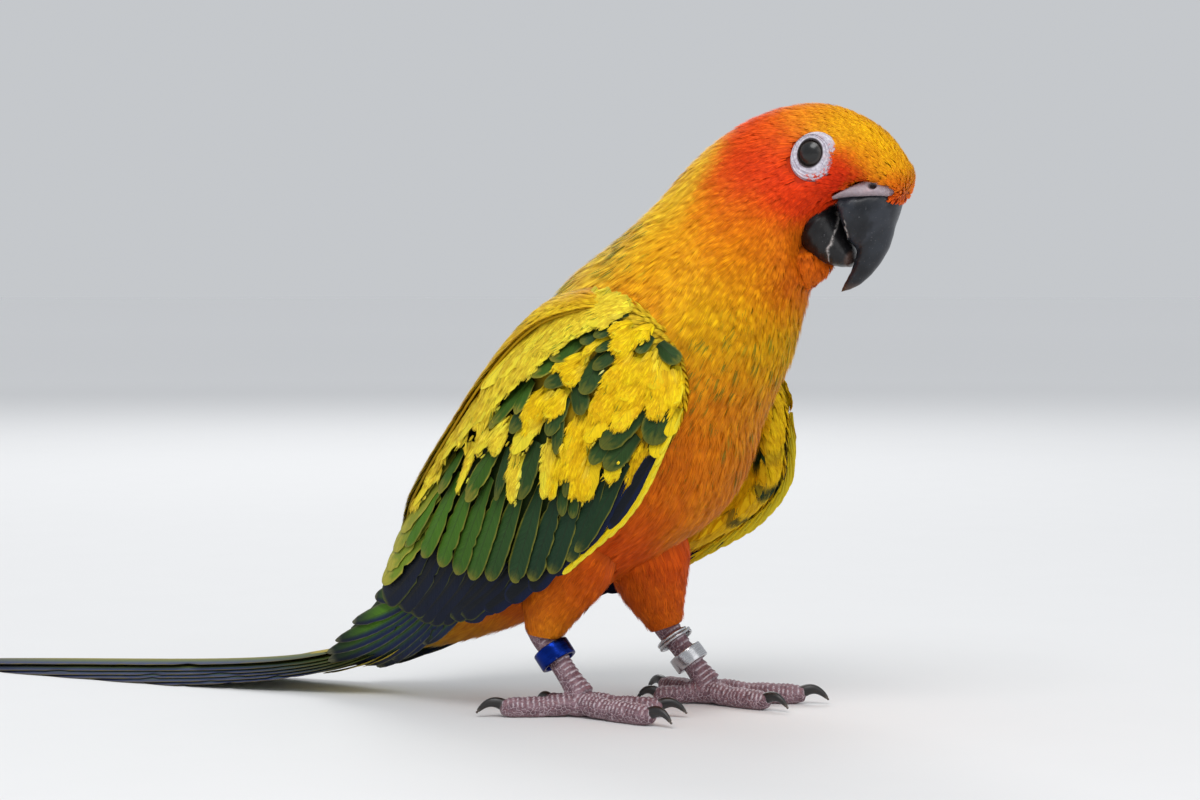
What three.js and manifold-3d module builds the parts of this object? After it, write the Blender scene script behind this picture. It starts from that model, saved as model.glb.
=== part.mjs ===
// A sun conure at rest on its own feet, life size, in millimetres.
// +X is where the bird faces, +Y its left side, +Z up, and the floor is z = 0.
import * as THREE from "three";
import Module from "manifold-3d";

const wasm = await Module();
wasm.setup();
const { Manifold } = wasm;

// Named sizes

const GAP = 0.36; // clear space between two nodes
const FINE = { wing: 0.11, tail: 0.08, torso: 0.08, other: 0.05 }; // edges that stand out by less are merged away
const BODY_SIDES = 24; // points round a section of the trunk
const SHIFT = [56.26, -0.9, 0]; // puts the bottom centre of the whole bird at the origin
const HEAD_PITCH = 26; // degrees the face looks down
const HEAD_AT = [54.9, 124.8]; // x and z of the point midway between the eyes
const TAIL_END = 3.4; // height above the floor that the middle of the tail sinks to

const DEG = Math.PI / 180;
const sin = (d) => Math.sin(d * DEG);
const cos = (d) => Math.cos(d * DEG);
const mix = (a, b, t) => a + (b - a) * t;
const clamp = (v, a, b) => Math.min(Math.max(v, a), b);
const add = (a, b) => a.map((v, i) => v + b[i]);
const sub = (a, b) => a.map((v, i) => v - b[i]);
const mul = (a, k) => a.map((v) => v * k);
const dot = (a, b) => a[0] * b[0] + a[1] * b[1] + a[2] * b[2];
const cross = (a, b) => [
  a[1] * b[2] - a[2] * b[1],
  a[2] * b[0] - a[0] * b[2],
  a[0] * b[1] - a[1] * b[0],
];
const unit = (a) => mul(a, 1 / Math.hypot(...a));
const mixv = (a, b, t) => a.map((v, i) => mix(v, b[i], t));

// A smooth function through rows of [place, value, value ...], each value its own cubic.
function curve(rows) {
  const slope = rows.map((row, i) => {
    const a = rows[Math.max(i - 1, 0)];
    const b = rows[Math.min(i + 1, rows.length - 1)];
    return row.map((_, k) => (b[k] - a[k]) / (b[0] - a[0]));
  });
  return (at) => {
    const s = clamp(at, rows[0][0], rows[rows.length - 1][0]);
    let i = 0;
    while (i < rows.length - 2 && s > rows[i + 1][0]) i++;
    const span = rows[i + 1][0] - rows[i][0];
    const t = (s - rows[i][0]) / span;
    const t2 = t * t;
    const t3 = t2 * t;
    return rows[i].slice(1).map((v, k) => {
      const w = rows[i + 1][k + 1];
      return (
        v * (2 * t3 - 3 * t2 + 1) +
        w * (3 * t2 - 2 * t3) +
        slope[i][k + 1] * span * (t3 - 2 * t2 + t) +
        slope[i + 1][k + 1] * span * (t3 - t2)
      );
    });
  };
}

// A closed solid from points and triangles, turned outwards whatever way it was listed.
function solid(points, triangles) {
  const build = (list) =>
    new Manifold(
      new wasm.Mesh({
        numProp: 3,
        vertProperties: new Float32Array(points.flat()),
        triVerts: new Uint32Array(list.flat()),
      }),
    );
  const made = build(triangles);
  return made.volume() < 0 ? build(triangles.map(([a, b, c]) => [a, c, b])) : made;
}

// Rings of equal count joined in turn, each end closed to a point.
function loft(rings, startPoint, endPoint) {
  const n = rings[0].length;
  const mean = (ring) => mul(ring.reduce(add), 1 / n);
  const points = rings.flat();
  const first = points.length;
  points.push(startPoint ?? mean(rings[0]));
  points.push(endPoint ?? mean(rings[rings.length - 1]));
  const tris = [];
  for (let j = 0; j < n; j++) {
    const k = (j + 1) % n;
    for (let i = 0; i < rings.length - 1; i++) {
      const a = i * n;
      tris.push([a + j, a + k, a + n + k], [a + j, a + n + k, a + n + j]);
    }
    const z = (rings.length - 1) * n;
    tris.push([first, k, j], [first + 1, z + j, z + k]);
  }
  return solid(points, tris);
}

const join = (list) => list.reduce((a, b) => a.add(b));

// The largest closed surface of a solid, for what a cut leaves loose.
function largest(made) {
  const parts = made.decompose();
  if (parts.length < 2) return made;
  return parts.reduce((a, b) => (b.volume() > a.volume() ? b : a));
}

// A round tube along points, with a radius for each, an oval flattening and rounded ends.
function tube(path, radii, sides = 10, grow = 0, up = [0, 0, 1], flat = 1) {
  const rings = path.map((p, i) => {
    const a = path[Math.max(i - 1, 0)];
    const b = path[Math.min(i + 1, path.length - 1)];
    const d = unit(sub(b, a));
    const u = unit(cross(Math.abs(d[2]) > 0.6 ? [0, 1, 0] : up, d));
    const v = cross(d, u);
    const r = radii[i] + grow;
    return Array.from({ length: sides }, (_, j) => {
      const t = (360 * (j + 0.5)) / sides;
      return add(p, add(mul(u, r * cos(t)), mul(v, r * flat * sin(t))));
    });
  });
  const n = path.length - 1;
  const startAt = add(path[0], mul(unit(sub(path[0], path[1])), radii[0] * 0.35 + grow));
  const endAt = add(path[n], mul(unit(sub(path[n], path[n - 1])), radii[n] * 0.35 + grow));
  return loft(rings, startAt, endAt);
}

// The trunk, from the root of the tail to the front of the face.
// Each row: place along it, x and z of the centre, tilt, upper and lower radius, half width, narrowing upward.
const TRUNK = [
  [0, -50.5, 14.6, 30, 4.0, 3.8, 6.0, 0],
  [1, -46, 17.4, 33, 6.6, 6.8, 9.0, 0],
  [2, -36, 26.3, 38, 12.0, 14.0, 14.5, 0],
  [3, -22, 39.5, 44, 20.0, 22.0, 21.0, 0],
  [4, -8, 52.5, 48, 26.9, 27.5, 26.0, 0],
  [5, 4.4, 63.3, 49.5, 30.2, 30.3, 28.8, 0],
  [6, 12.3, 73.0, 50, 29.9, 29.3, 29.0, 0],
  [7, 16.9, 80.5, 50, 28.5, 26.8, 27.6, 0],
  [8, 26.1, 91.8, 52, 25.2, 23.7, 22.6, 0],
  [9, 30.3, 97.8, 54, 23.6, 21.4, 19.3, 0],
  [10, 34.0, 103.9, 58, 21.8, 19.2, 17.0, 0.02],
  [11, 39.5, 110.0, 40, 21.0, 19.0, 15.4, 0.05],
  [12, 45.5, 115.3, 15, 19.8, 18.8, 14.0, 0.1],
  [13, 52.0, 119.0, -8, 17.3, 13.8, 12.7, 0.14],
  [14, 59.9, 121.3, -26, 12.1, 11.0, 11.3, 0.14],
  [15, 65.8, 120.4, -26, 9.0, 7.2, 9.0, 0.1],
  [16, 71.2, 117.7, -26, 5.9, 4.6, 6.2, 0.05],
];
const TRUNK_TIP = [74.6, 0, 115.6];
const trunkAt = curve(TRUNK);

function trunkPoint(k, t, grow) {
  const [x, z, tilt, up, low, half, narrow] = trunkAt(k);
  const s = sin(t);
  const n = (s > 0 ? up + grow : low + grow) * s;
  return [x - sin(tilt) * n, (half * (1 - narrow * s) + grow) * cos(t), z + cos(tilt) * n];
}

// Long steps serve along the body, and short ones from the neck to the face.
function trunk(grow = 0, from = 0, to = 16, sides = BODY_SIDES) {
  const rings = [];
  for (let k = from; k <= to + 1e-6; k += k < 8 ? Math.min(1, to) : 0.5)
    rings.push(Array.from({ length: sides }, (_, j) => trunkPoint(k, (360 * j) / sides, grow)));
  const [x, z, tilt, up] = trunkAt(from);
  const back = [x - cos(tilt) * (up * 0.4 + grow), 0, z - sin(tilt) * (up * 0.4 + grow)];
  const tip = to === 16 ? add(TRUNK_TIP, [grow * cos(26), 0, -grow * sin(26)]) : undefined;
  return loft(rings, back, tip);
}

// A point given in the head's own directions: forward, to the left, and up.
function inHead(forward, left, up) {
  return [
    HEAD_AT[0] + forward * cos(HEAD_PITCH) + up * sin(HEAD_PITCH),
    left,
    HEAD_AT[1] - forward * sin(HEAD_PITCH) + up * cos(HEAD_PITCH),
  ];
}

// The two halves of a plane cut, each set back by half a gap.
function cutBy(made, normal, offset) {
  return [
    made.trimByPlane(normal, offset + GAP / 2),
    made.trimByPlane(mul(normal, -1), -offset + GAP / 2),
  ];
}

// The bill. Its outlines are listed in the head's directions as [forward, up, half width].

const UPPER_BILL = [
  [9.0, -6.4, 9.2, -8.8, 6.2],
  [12.4, -4.4, 11.2, -11.4, 6.3],
  [16.4, -3.2, 13.4, -14.0, 5.9],
  [19.8, -3.4, 15.2, -15.2, 5.1],
  [20.9, -7.2, 16.0, -16.2, 4.4],
  [21.8, -11.8, 16.2, -17.9, 3.6],
  [21.3, -17.0, 16.4, -20.4, 2.7],
  [19.7, -21.6, 16.2, -23.2, 1.6],
];
const UPPER_BILL_TIP = [16.2, 0, -25.5];

function upperBill(grow = 0) {
  const rings = UPPER_BILL.map(([f0, u0, f1, u1, half]) => {
    const c = [(f0 + f1) / 2, (u0 + u1) / 2];
    const a = [(f0 - f1) / 2, (u0 - u1) / 2];
    const len = Math.hypot(...a);
    const k = (len + grow) / len;
    return Array.from({ length: 16 }, (_, j) => {
      const t = (360 * j) / 16;
      const wide = (half + grow) * cos(t) * (sin(t) < 0 ? 1 : 1 - 0.12 * sin(t));
      return inHead(c[0] + a[0] * k * sin(t), wide, c[1] + a[1] * k * sin(t));
    });
  });
  const tip = inHead(UPPER_BILL_TIP[0] - grow * 0.4, 0, UPPER_BILL_TIP[2] - grow);
  return loft(rings, inHead(7.6 - grow, 0, -7.2), tip);
}

const LOWER_BILL = [
  [6.6, -8.8, 2.4, -18.2, 6.5],
  [8.4, -9.9, 4.2, -20.4, 6.9],
  [10.4, -11.4, 7.4, -21.5, 6.5],
  [12.0, -13.2, 10.6, -21.4, 5.6],
  [13.6, -14.8, 13.4, -20.8, 4.6],
  [15.3, -16.4, 15.6, -19.8, 3.4],
];

function lowerBill(grow = 0) {
  const rings = LOWER_BILL.map(([f0, u0, f1, u1, half]) => {
    const c = [(f0 + f1) / 2, (u0 + u1) / 2];
    const a = [(f0 - f1) / 2, (u0 - u1) / 2];
    const k = 1 + grow / Math.hypot(...a);
    return Array.from({ length: 16 }, (_, j) => {
      const t = (360 * j) / 16;
      return inHead(c[0] + a[0] * k * sin(t), (half + grow) * cos(t), c[1] + a[1] * k * sin(t));
    });
  });
  return loft(rings, inHead(3.0 - grow, 0, -12.8), inHead(16.1 + grow, 0, -18.2));
}

// The cere: a soft band over the root of the bill, with a nostril each side.
function cereBand(grow = 0) {
  return loft(
    [
      [8.2, -4.8, 6.3],
      [11.0, -3.5, 6.6],
      [14.2, -2.4, 6.4],
      [17.6, -2.0, 5.6],
    ].map(([f, u, half]) =>
      Array.from({ length: 16 }, (_, j) => {
        const t = (360 * j) / 16;
        const high = (3.6 + grow) * sin(t);
        return inHead(f + 0.5 * high, (half + grow) * cos(t), u + 0.9 * high);
      }),
    ),
    inHead(7.0 - grow, 0, -5.4),
    inHead(19.4 + grow, 0, -2.4),
  );
}

function cere() {
  const nostril = (side) =>
    Manifold.sphere(0.85, 10)
      .scale([1.25, 1.4, 0.85])
      .translate(inHead(13.4, side * 6.2, -1.2));
  return cereBand().subtract(nostril(1)).subtract(nostril(-1));
}

// The eyes: deep round balls in sockets, each with a bare raised ring of skin and a lid edge.
const EYE_R = 4.3;
const EYE_OUT = 11.5; // how far out the front of the ball stands
const eyeCentre = (side) => inHead(0.1, side * (EYE_OUT - EYE_R), 0.1);
const eyeBall = (side, grow = 0) =>
  Manifold.sphere(EYE_R + grow, grow ? 12 : 20).translate(eyeCentre(side));

function eyeRing(side) {
  const profile = [
    [2.95, -2.6],
    [2.95, -0.95],
    [3.15, -0.62],
    [3.55, -0.55],
    [4.2, -0.72],
    [5.0, -0.62],
    [5.5, -0.95],
    [5.9, -2.6],
  ];
  const sides = 18;
  const rings = Array.from({ length: sides }, (_, j) => {
    const t = (360 * j) / sides;
    return profile.map(([r, out]) => {
      const oval = r > 3.4 ? 1 + 0.06 * Math.cos((2 * (t + 47)) * DEG) : 1;
      const shift = r > 3.4 ? (0.7 * (r - 3.4)) / 2.4 : 0;
      const bow = -0.011 * r * r * Math.cos(2 * t * DEG) - 0.01 * r * r;
      return inHead(0.1 + r * oval * cos(t) + shift, side * (EYE_OUT + out + bow), 0.1 + r * oval * sin(t));
    });
  });
  const m = profile.length;
  const points = rings.flat();
  const tris = [];
  for (let i = 0; i < sides; i++)
    for (let j = 0; j < m; j++) {
      const a = i * m + j;
      const b = i * m + ((j + 1) % m);
      const c = ((i + 1) % sides) * m + j;
      const d = ((i + 1) % sides) * m + ((j + 1) % m);
      tris.push([a, b, d], [a, d, c]);
    }
  return solid(points, tris);
}

// How far out the trunk's side stands at a place seen from the side, or 0 outside its outline.
function trunkSide(x, z) {
  const along = (k) => {
    const [cx, cz, tilt] = trunkAt(k);
    return (x - cx) * cos(tilt) + (z - cz) * sin(tilt);
  };
  let best = 0;
  for (let k = 0; k < 12; k += 0.5) {
    let a = k;
    let b = k + 0.5;
    if (along(a) * along(b) > 0) continue;
    for (let i = 0; i < 14; i++) {
      const c = (a + b) / 2;
      if (along(a) * along(c) <= 0) b = c;
      else a = c;
    }
    const [cx, cz, tilt, up, low, half, narrow] = trunkAt(a);
    const n = (z - cz) * cos(tilt) - (x - cx) * sin(tilt);
    const q = 1 - (n / (n > 0 ? up : low)) ** 2;
    if (q > 0) best = Math.max(best, half * (1 - (narrow * n) / up) * Math.sqrt(q));
  }
  return best;
}

// The wings are sheets seen from the side: s runs back from the wrist to the tip, m up across them.
const WING_AT = [34.2, 74.5];
const WING_SLOPE = 33.4;
const WING_END = 120;
const WING_COVER = 3.2; // how far the sheet stands off the trunk
// Each row: place s, middle m, half width of the pair, upper and lower radius.
const wingTube = curve([
  [-6, 8, 22.0, 24, 22],
  [0, 4, 27.0, 31, 26],
  [6, 2, 30.2, 35, 30],
  [14, 1, 32.4, 37.5, 33],
  [25, 0, 33.2, 38.5, 35],
  [40, 0, 32.2, 36.5, 35],
  [55, 0, 29.4, 31.5, 33],
  [70, 0, 24.8, 26.2, 29],
  [84, 0, 19.2, 20.0, 23],
  [95, 0, 14.8, 13.6, 16],
  [105, 0, 11.8, 9.0, 11],
  [114, 1.0, 10.4, 6.6, 8],
  [124, 2.0, 9.4, 4.8, 6],
]);
// Lower and upper edge of the folded wing.
const wingEdges = curve([
  [-2.2, 7.6, 12.4],
  [0, 0.6, 20.2],
  [5, -4.9, 27.5],
  [14, -9.8, 32],
  [24, -14.2, 35],
  [35, -16.4, 34.8],
  [45, -16.5, 32.6],
  [55, -15.8, 29.6],
  [66, -13.6, 25.8],
  [79, -10.6, 20.2],
  [91, -8.2, 14.2],
  [99, -6.6, 9.4],
  [108, -3.4, 7.0],
  [115, -0.6, 5.4],
  [120.5, 1.9, 3.3],
]);

// The sheet's height over the middle plane, kept on a grid so that it is only worked out once.
const SHEET = { s0: -8, m0: -28, step: 2, ns: 68, nm: 37 };
const sheetGrid = Array.from({ length: SHEET.ns }, (_, i) =>
  Array.from({ length: SHEET.nm }, (_, j) => {
    const s = SHEET.s0 + i * SHEET.step;
    const m = SHEET.m0 + j * SHEET.step;
    const [mid, half, up, low] = wingTube(s);
    const q = 1 - ((m - mid) / (m > mid ? up : low)) ** 2;
    const free = q > 0.02 ? half * Math.sqrt(q) : half * 0.141 * Math.exp((q - 0.02) * 2);
    const on = trunkSide(...wingPlane(s, m)) + WING_COVER;
    return 0.5 * (free + on + Math.hypot(free - on, 1.5));
  }),
);

function wingPlane(s, m) {
  return [
    WING_AT[0] - s * cos(WING_SLOPE) - m * sin(WING_SLOPE),
    WING_AT[1] - s * sin(WING_SLOPE) + m * cos(WING_SLOPE),
  ];
}

// How far the far wing hangs from the near one's place.
const farLead = curve([
  [-8, 0.9],
  [5, 1.0],
  [14, 1.5],
  [24, 1.3],
  [36, 1.0],
  [60, 0.5],
  [85, 0.15],
  [110, 0],
]);

function sheetPoint(side, s, m) {
  const u = clamp((s - SHEET.s0) / SHEET.step, 0, SHEET.ns - 1.001);
  const v = clamp((m - SHEET.m0) / SHEET.step, 0, SHEET.nm - 1.001);
  const i = Math.floor(u);
  const j = Math.floor(v);
  const low = mix(sheetGrid[i][j], sheetGrid[i + 1][j], u - i);
  const high = mix(sheetGrid[i][j + 1], sheetGrid[i + 1][j + 1], u - i);
  const [x, z] = wingPlane(s, m);
  // The far wing is held a little forward and lower than the near one.
  const hang = side > 0 ? farLead(s)[0] * clamp((24 - m) / 34, 0, 1.2) : 0;
  return [x + 3.2 * hang, side * (mix(low, high, v - j) + 2.2 * hang), z - 4.2 * hang];
}

// A point of the wing, with a distance off the sheet along its own normal.
function wingPoint(side, s, m, out) {
  const p = sheetPoint(side, s, m);
  const ds = sub(sheetPoint(side, s + 1.5, m), sheetPoint(side, s - 1.5, m));
  const dm = sub(sheetPoint(side, s, m + 1.5), sheetPoint(side, s, m - 1.5));
  const n = unit(cross(ds, dm));
  return add(p, mul(n, n[1] * side > 0 ? out : -out));
}

// The wing's body: a shell between the sheet and the trunk.
function wingCore(side, end) {
  const across = 5;
  const steps = 10;
  const outer = curve([
    [-2.2, -4.0],
    [1, -2.0],
    [6, -1.1],
    [40, -1.2],
    [85, -1.7],
    [120, -1.7],
  ]);
  const inner = curve([
    [-2.2, -7.5],
    [10, -10],
    [50, -9],
    [75, -6],
    [92, -3.4],
    [120, -2.6],
  ]);
  const rings = [];
  for (let i = 0; i <= steps; i++) {
    const s = mix(-2, end, (i / steps) ** 1.15);
    const [low, high] = wingEdges(s);
    const row = (out) =>
      Array.from({ length: across }, (_, j) => {
        const t = j / (across - 1);
        const rim = out === inner(s)[0] ? 0 : -0.9 * (2 * t - 1) ** 6;
        return wingPoint(side, s, mix(low, high, t), out + rim);
      });
    rings.push([...row(outer(s)[0]), ...row(inner(s)[0]).reverse()]);
  }
  return loft(rings);
}

// A seeded random number, so that every build is the same.
function seeded(seed) {
  let state = seed;
  return () => {
    state = (Math.imul(state, 1664525) + 1013904223) >>> 0;
    return state / 4294967296;
  };
}

// A feather: a thin closed blade laid on a surface from its root to a rounded tip.
// One edge stands up by lean and the other lies down by it, so that each laps its neighbour.
const BLADE = [
  [0, 0.5],
  [0.34, 0.88],
  [0.66, 1],
  [0.88, 0.84],
  [1, 0.32],
];

const SHORT_BLADE = [
  [0, 0.6],
  [0.5, 1],
  [0.85, 0.86],
  [1, 0.34],
];

function vane(at, { root, tip, half, out, lean = 0.7, bow = 0, thick = 0.55, blade = BLADE }) {
  const d = [tip[0] - root[0], tip[1] - root[1]];
  const len = Math.hypot(...d);
  const across = [-d[1] / len, d[0] / len];
  const points = [];
  for (const [t, wide] of blade) {
    const side = bow * len * 4 * t * (1 - t);
    for (const [edge, drop] of [[-1, thick], [-1, 0], [1, 0], [1, thick]]) {
      const off = side + edge * half * wide;
      const high = mix(out[0], out[1], t) - edge * lean * wide - drop;
      points.push(at(root[0] + d[0] * t + across[0] * off, root[1] + d[1] * t + across[1] * off, high));
    }
  }
  const tris = [];
  const last = (blade.length - 1) * 4;
  for (let i = 0; i < last; i += 4) {
    // Upper and lower face are split along the same diagonal, so the blade keeps its thickness.
    tris.push([i + 1, i + 2, i + 6], [i + 1, i + 6, i + 5]);
    tris.push([i, i + 7, i + 3], [i, i + 4, i + 7]);
    tris.push([i, i + 1, i + 5], [i, i + 5, i + 4]);
    tris.push([i + 3, i + 7, i + 6], [i + 3, i + 6, i + 2]);
  }
  tris.push([0, 3, 2], [0, 2, 1], [last, last + 1, last + 2], [last, last + 2, last + 3]);
  return solid(points, tris);
}

// The wing's feathers in tiers, each a run of vanes between a line of roots and a line of tips.
// Lines are [place in the run, s, m]; half is the half width and out the height off the sheet.
const TIERS = [
  {
    name: "primaries",
    count: 4,
    root: curve([[0, 72, -9.5], [1, 82, -1]]),
    tip: curve([[0, 120.5, 2.6], [0.4, 112, 4.2], [1, 100, 6.4]]),
    half: [3.3, 3.6],
    out: [-0.5, 0.5],
    bow: -0.03,
  },
  {
    name: "secondaries",
    count: 5,
    root: curve([[0, 60, -9], [0.5, 65, -3], [1, 77, 7]]),
    tip: curve([[0, 79, -10.4], [0.4, 88, -7.6], [0.75, 93, -3], [1, 97, 3.4]]),
    half: [3.8, 4.8],
    out: [-0.5, 1.2],
    bow: -0.02,
  },
  {
    name: "tertials",
    count: 3,
    root: curve([[0, 78, 10], [0.5, 72, 15], [1, 62, 20.5]]),
    tip: curve([[0, 97, 6.0], [0.5, 92, 9.6], [1, 83, 14.8]]),
    half: [3.8, 3.6],
    out: [-0.4, 1.5],
    bow: 0.03,
  },
  {
    name: "primary_coverts",
    count: 3,
    root: curve([[0, 12, -6.4], [0.34, 38, -12], [1, 58, -13.4]]),
    tip: curve([[0, 45, -16.6], [0.4, 60, -16.2], [1, 79, -11.6]]),
    half: [2.0, 3.0],
    out: [-0.5, 1.3],
    bow: -0.03,
  },
  {
    name: "greater_coverts",
    count: 8,
    root: curve([[0, 22, -6.6], [0.25, 35, -2], [0.5, 48, 5.2], [0.75, 57.5, 12.6], [1, 66, 19]]),
    tip: curve([[0, 46, -15.6], [0.25, 57, -14.8], [0.5, 66.4, -9.2], [0.75, 75, -0.8], [1, 84, 10]]),
    half: [4.4, 4.7],
    out: [-0.5, 1.7],
    bow: -0.02,
  },
  {
    name: "median_coverts",
    count: 6,
    root: curve([[0, 4, -1], [0.5, 28, 9], [1, 47, 20.6]]),
    tip: curve([[0, 14, -8.4], [0.25, 27.5, -7.6], [0.5, 41, -2.6], [0.75, 51, 5.0], [1, 61, 12.4]]),
    half: [4.6, 4.2],
    out: [-0.5, 1.9],
    blade: SHORT_BLADE,
  },
  {
    name: "lesser_coverts",
    count: 3,
    root: curve([[0, 1.5, 6], [0.5, 15, 16], [1, 30, 26.5]]),
    tip: curve([[0, 12, -2.2], [0.5, 29.5, 5], [1, 46.5, 16.8]]),
    half: [5.6, 5.2],
    out: [-0.5, 1.9],
    blade: SHORT_BLADE,
  },
  {
    name: "shoulder_coverts",
    count: 2,
    root: curve([[0, -0.6, 13], [1, 15, 27]]),
    tip: curve([[0, 9.5, 5], [1, 31, 19]]),
    half: [5.6, 5.2],
    out: [-0.6, 1.7],
    blade: SHORT_BLADE,
  },
  {
    name: "scapulars",
    count: 5,
    root: curve([[0, 6, 25.5], [0.5, 20, 31], [1, 38, 30.5]]),
    tip: curve([[0, 25, 22.4], [0.5, 46, 20.6], [1, 72, 18]]),
    half: [4.6, 4.4],
    out: [-0.4, 2.1],
    bow: -0.04,
    blade: SHORT_BLADE,
  },
];
const LAYER = -1.3; // lets the finished plumage lie about the sheet

function wingFeathers(side) {
  const random = seeded(side > 0 ? 7 : 3);
  const at = (s, m, out) => wingPoint(side, s, m, out + LAYER);
  return TIERS.flatMap((tier) =>
    Array.from({ length: tier.count }, (_, i) => {
      const q = i / (tier.count - 1);
      const stray = () => random() - 0.5;
      const tip = tier.tip(q);
      return vane(at, {
        root: tier.root(q),
        tip: [tip[0] + 1.2 * stray(), tip[1] + 0.5 * stray()],
        half: mix(tier.half[0], tier.half[1], q),
        out: [tier.out[0], tier.out[1] + 0.12 * stray()],
        bow: tier.bow ?? 0,
        blade: tier.blade ?? BLADE,
      });
    }),
  );
}

// The tail follows a curve that runs down from the rump and lies along the floor.
const TAIL_FROM = -40;
const TAIL_LONG = 147;
function tailLine(l) {
  const drop = 18.5;
  const fall = 19.5;
  const sink = 4.75 * (l / TAIL_LONG) ** 2;
  return [TAIL_FROM - l, TAIL_END - sink + drop * Math.exp(-l / fall)];
}

// A point of the tail: place along it, sideways place, height over its middle sheet.
function tailPoint(l, y, h) {
  const [x, z] = tailLine(l);
  const [x2, z2] = tailLine(l + 1);
  const d = unit([x2 - x, 0, z2 - z]);
  const roof = -0.006 * y * y;
  return [x + d[2] * (h + roof), y, z - d[0] * (h + roof)];
}

// The tail's feathers: root and tip as [l, y] on the tail, half width and height over its middle.
const RECTRICES = [
  { root: [4, 1.8], tip: [147, 2.0], half: 5.2, high: 1.8 },
  { root: [4, 3.0], tip: [137, 5.0], half: 4.4, high: 0.5 },
  { root: [5, 3.4], tip: [124, 6.4], half: 4.6, high: -0.12 },
  { root: [6, 4.0], tip: [109, 7.6], half: 4.4, high: -0.74 },
  { root: [7, 4.6], tip: [93, 8.8], half: 4.2, high: -1.36 },
  { root: [8, 5.0], tip: [77, 9.6], half: 3.8, high: -1.98 },
];
const TAIL_COVERTS = [
  { root: [0, 3.0], tip: [42, 3.2], half: 4.6, high: 2.5 },
  { root: [-6, 3.4], tip: [45, 3.6], half: 5.0, high: -2.6 },
];
const LONG_BLADE = [
  [0, 0.6],
  [0.35, 0.95],
  [0.72, 1],
  [0.94, 0.66],
  [1, 0.2],
];

function tailFeathers() {
  // Where a pair meets on the middle line, its right feather lies over its left one.
  const over = (y, half, side) => (y < half * 0.7 && side > 0 ? 0.65 : 0);
  return [...RECTRICES, ...TAIL_COVERTS].flatMap(({ root, tip, half, high }) =>
    [1, -1].map((side) =>
      vane(tailPoint, {
        root: [root[0], root[1] * side],
        tip: [tip[0], tip[1] * side],
        half,
        out: [high, high].map((h) => h - over(tip[1], half, side)),
        lean: 0,
        blade: LONG_BLADE,
      }),
    ),
  );
}

function tailPlain(grow = 0) {
  const rows = curve([
    [4, 8.0, 2.6, -3.4],
    [20, 9.6, 2.3, -3.2],
    [45, 10.6, 1.6, -2.6],
    [80, 10.4, 1.0, -2.2],
    [115, 8.2, 0.5, -1.9],
    [140, 4.6, 0.1, -1.5],
    [148, 2.0, -0.2, -1.3],
  ]);
  const rings = [];
  for (let i = 0; i <= 16; i++) {
    const l = mix(4, 148, i / 16);
    const [half, top, low] = rows(l);
    const w = half + grow;
    const ring = [];
    for (let j = 0; j <= 6; j++) ring.push(tailPoint(l, mix(-w, w, j / 6), top + grow));
    for (let j = 6; j >= 0; j--) ring.push(tailPoint(l, mix(-w, w, j / 6), low - grow));
    rings.push(ring);
  }
  return loft(rings);
}

// The legs. Each row of a foot: how far round from straight ahead, and the lengths of its toes.

const LEGS = {
  right: { side: -1, hip: [1, -12.5, 39], ankle: [-7.8, -14.4, 17.8], palm: [2.4, -15.2, 4.6] },
  left: { side: 1, hip: [7.5, 12.2, 40], ankle: [9.6, 14.4, 17.8], palm: [20.0, 15.6, 4.6] },
};
const TOES = [
  { name: "toe_inner_front", turn: -14, long: 15.5, from: [2.2, -2.0], r: 2.2 },
  { name: "toe_outer_front", turn: 17, long: 19.5, from: [2.2, 2.0], r: 2.3 },
  { name: "toe_inner_back", turn: -158, long: 9.5, from: [-2.0, -2.0], r: 2.0 },
  { name: "toe_outer_back", turn: 152, long: 15.0, from: [-2.0, 2.2], r: 2.2 },
];

function thigh(leg, grow = 0) {
  const { hip, ankle, side } = leg;
  const end = add(ankle, [0.7, 0, -0.6]);
  const path = [0, 0.25, 0.5, 0.72, 0.88, 1].map((t) =>
    add(mixv(hip, end, t), [-1.6 * Math.sin(Math.PI * t), side * 0.8 * (1 - t), 0]),
  );
  return tube(path, [10.2, 10.0, 8.7, 6.8, 5.0, 3.9], 14, grow);
}

function shank(leg, grow = 0) {
  const { ankle, palm } = leg;
  const start = add(ankle, mul(unit(sub(ankle, palm)), 3));
  const path = [0, 0.2, 0.5, 0.8, 1].map((t) => mixv(start, palm, t));
  return tube(path, [2.6, 2.9, 2.5, 2.6, 3.2], 10, grow);
}

// The line of a toe: out from the palm, low over the floor, with a drooping last joint.
function toePath(leg, toe) {
  const { palm, side } = leg;
  const turn = toe.turn * side;
  const dir = [cos(turn), sin(turn), 0];
  const start = add(palm, [toe.from[0], toe.from[1] * side, -1.6]);
  return [0, 0.33, 0.62, 0.86, 1].map((t, i) => {
    const p = add(start, mul(dir, toe.long * t));
    p[2] = toe.r * [1.3, 1.02, 0.97, 0.95, 0.98][i];
    return p;
  });
}

function foot(leg) {
  const pad = Manifold.sphere(1, 12).scale([5.0, 4.4, 3.0]).translate([leg.palm[0], leg.palm[1], 2.7]);
  const toes = TOES.map((toe) => {
    const r = toe.r;
    return tube(toePath(leg, toe), [r * 1.1, r, r * 1.04, r * 0.95, r * 0.72], 8);
  });
  return join([shank(leg), pad, ...toes]);
}

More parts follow.
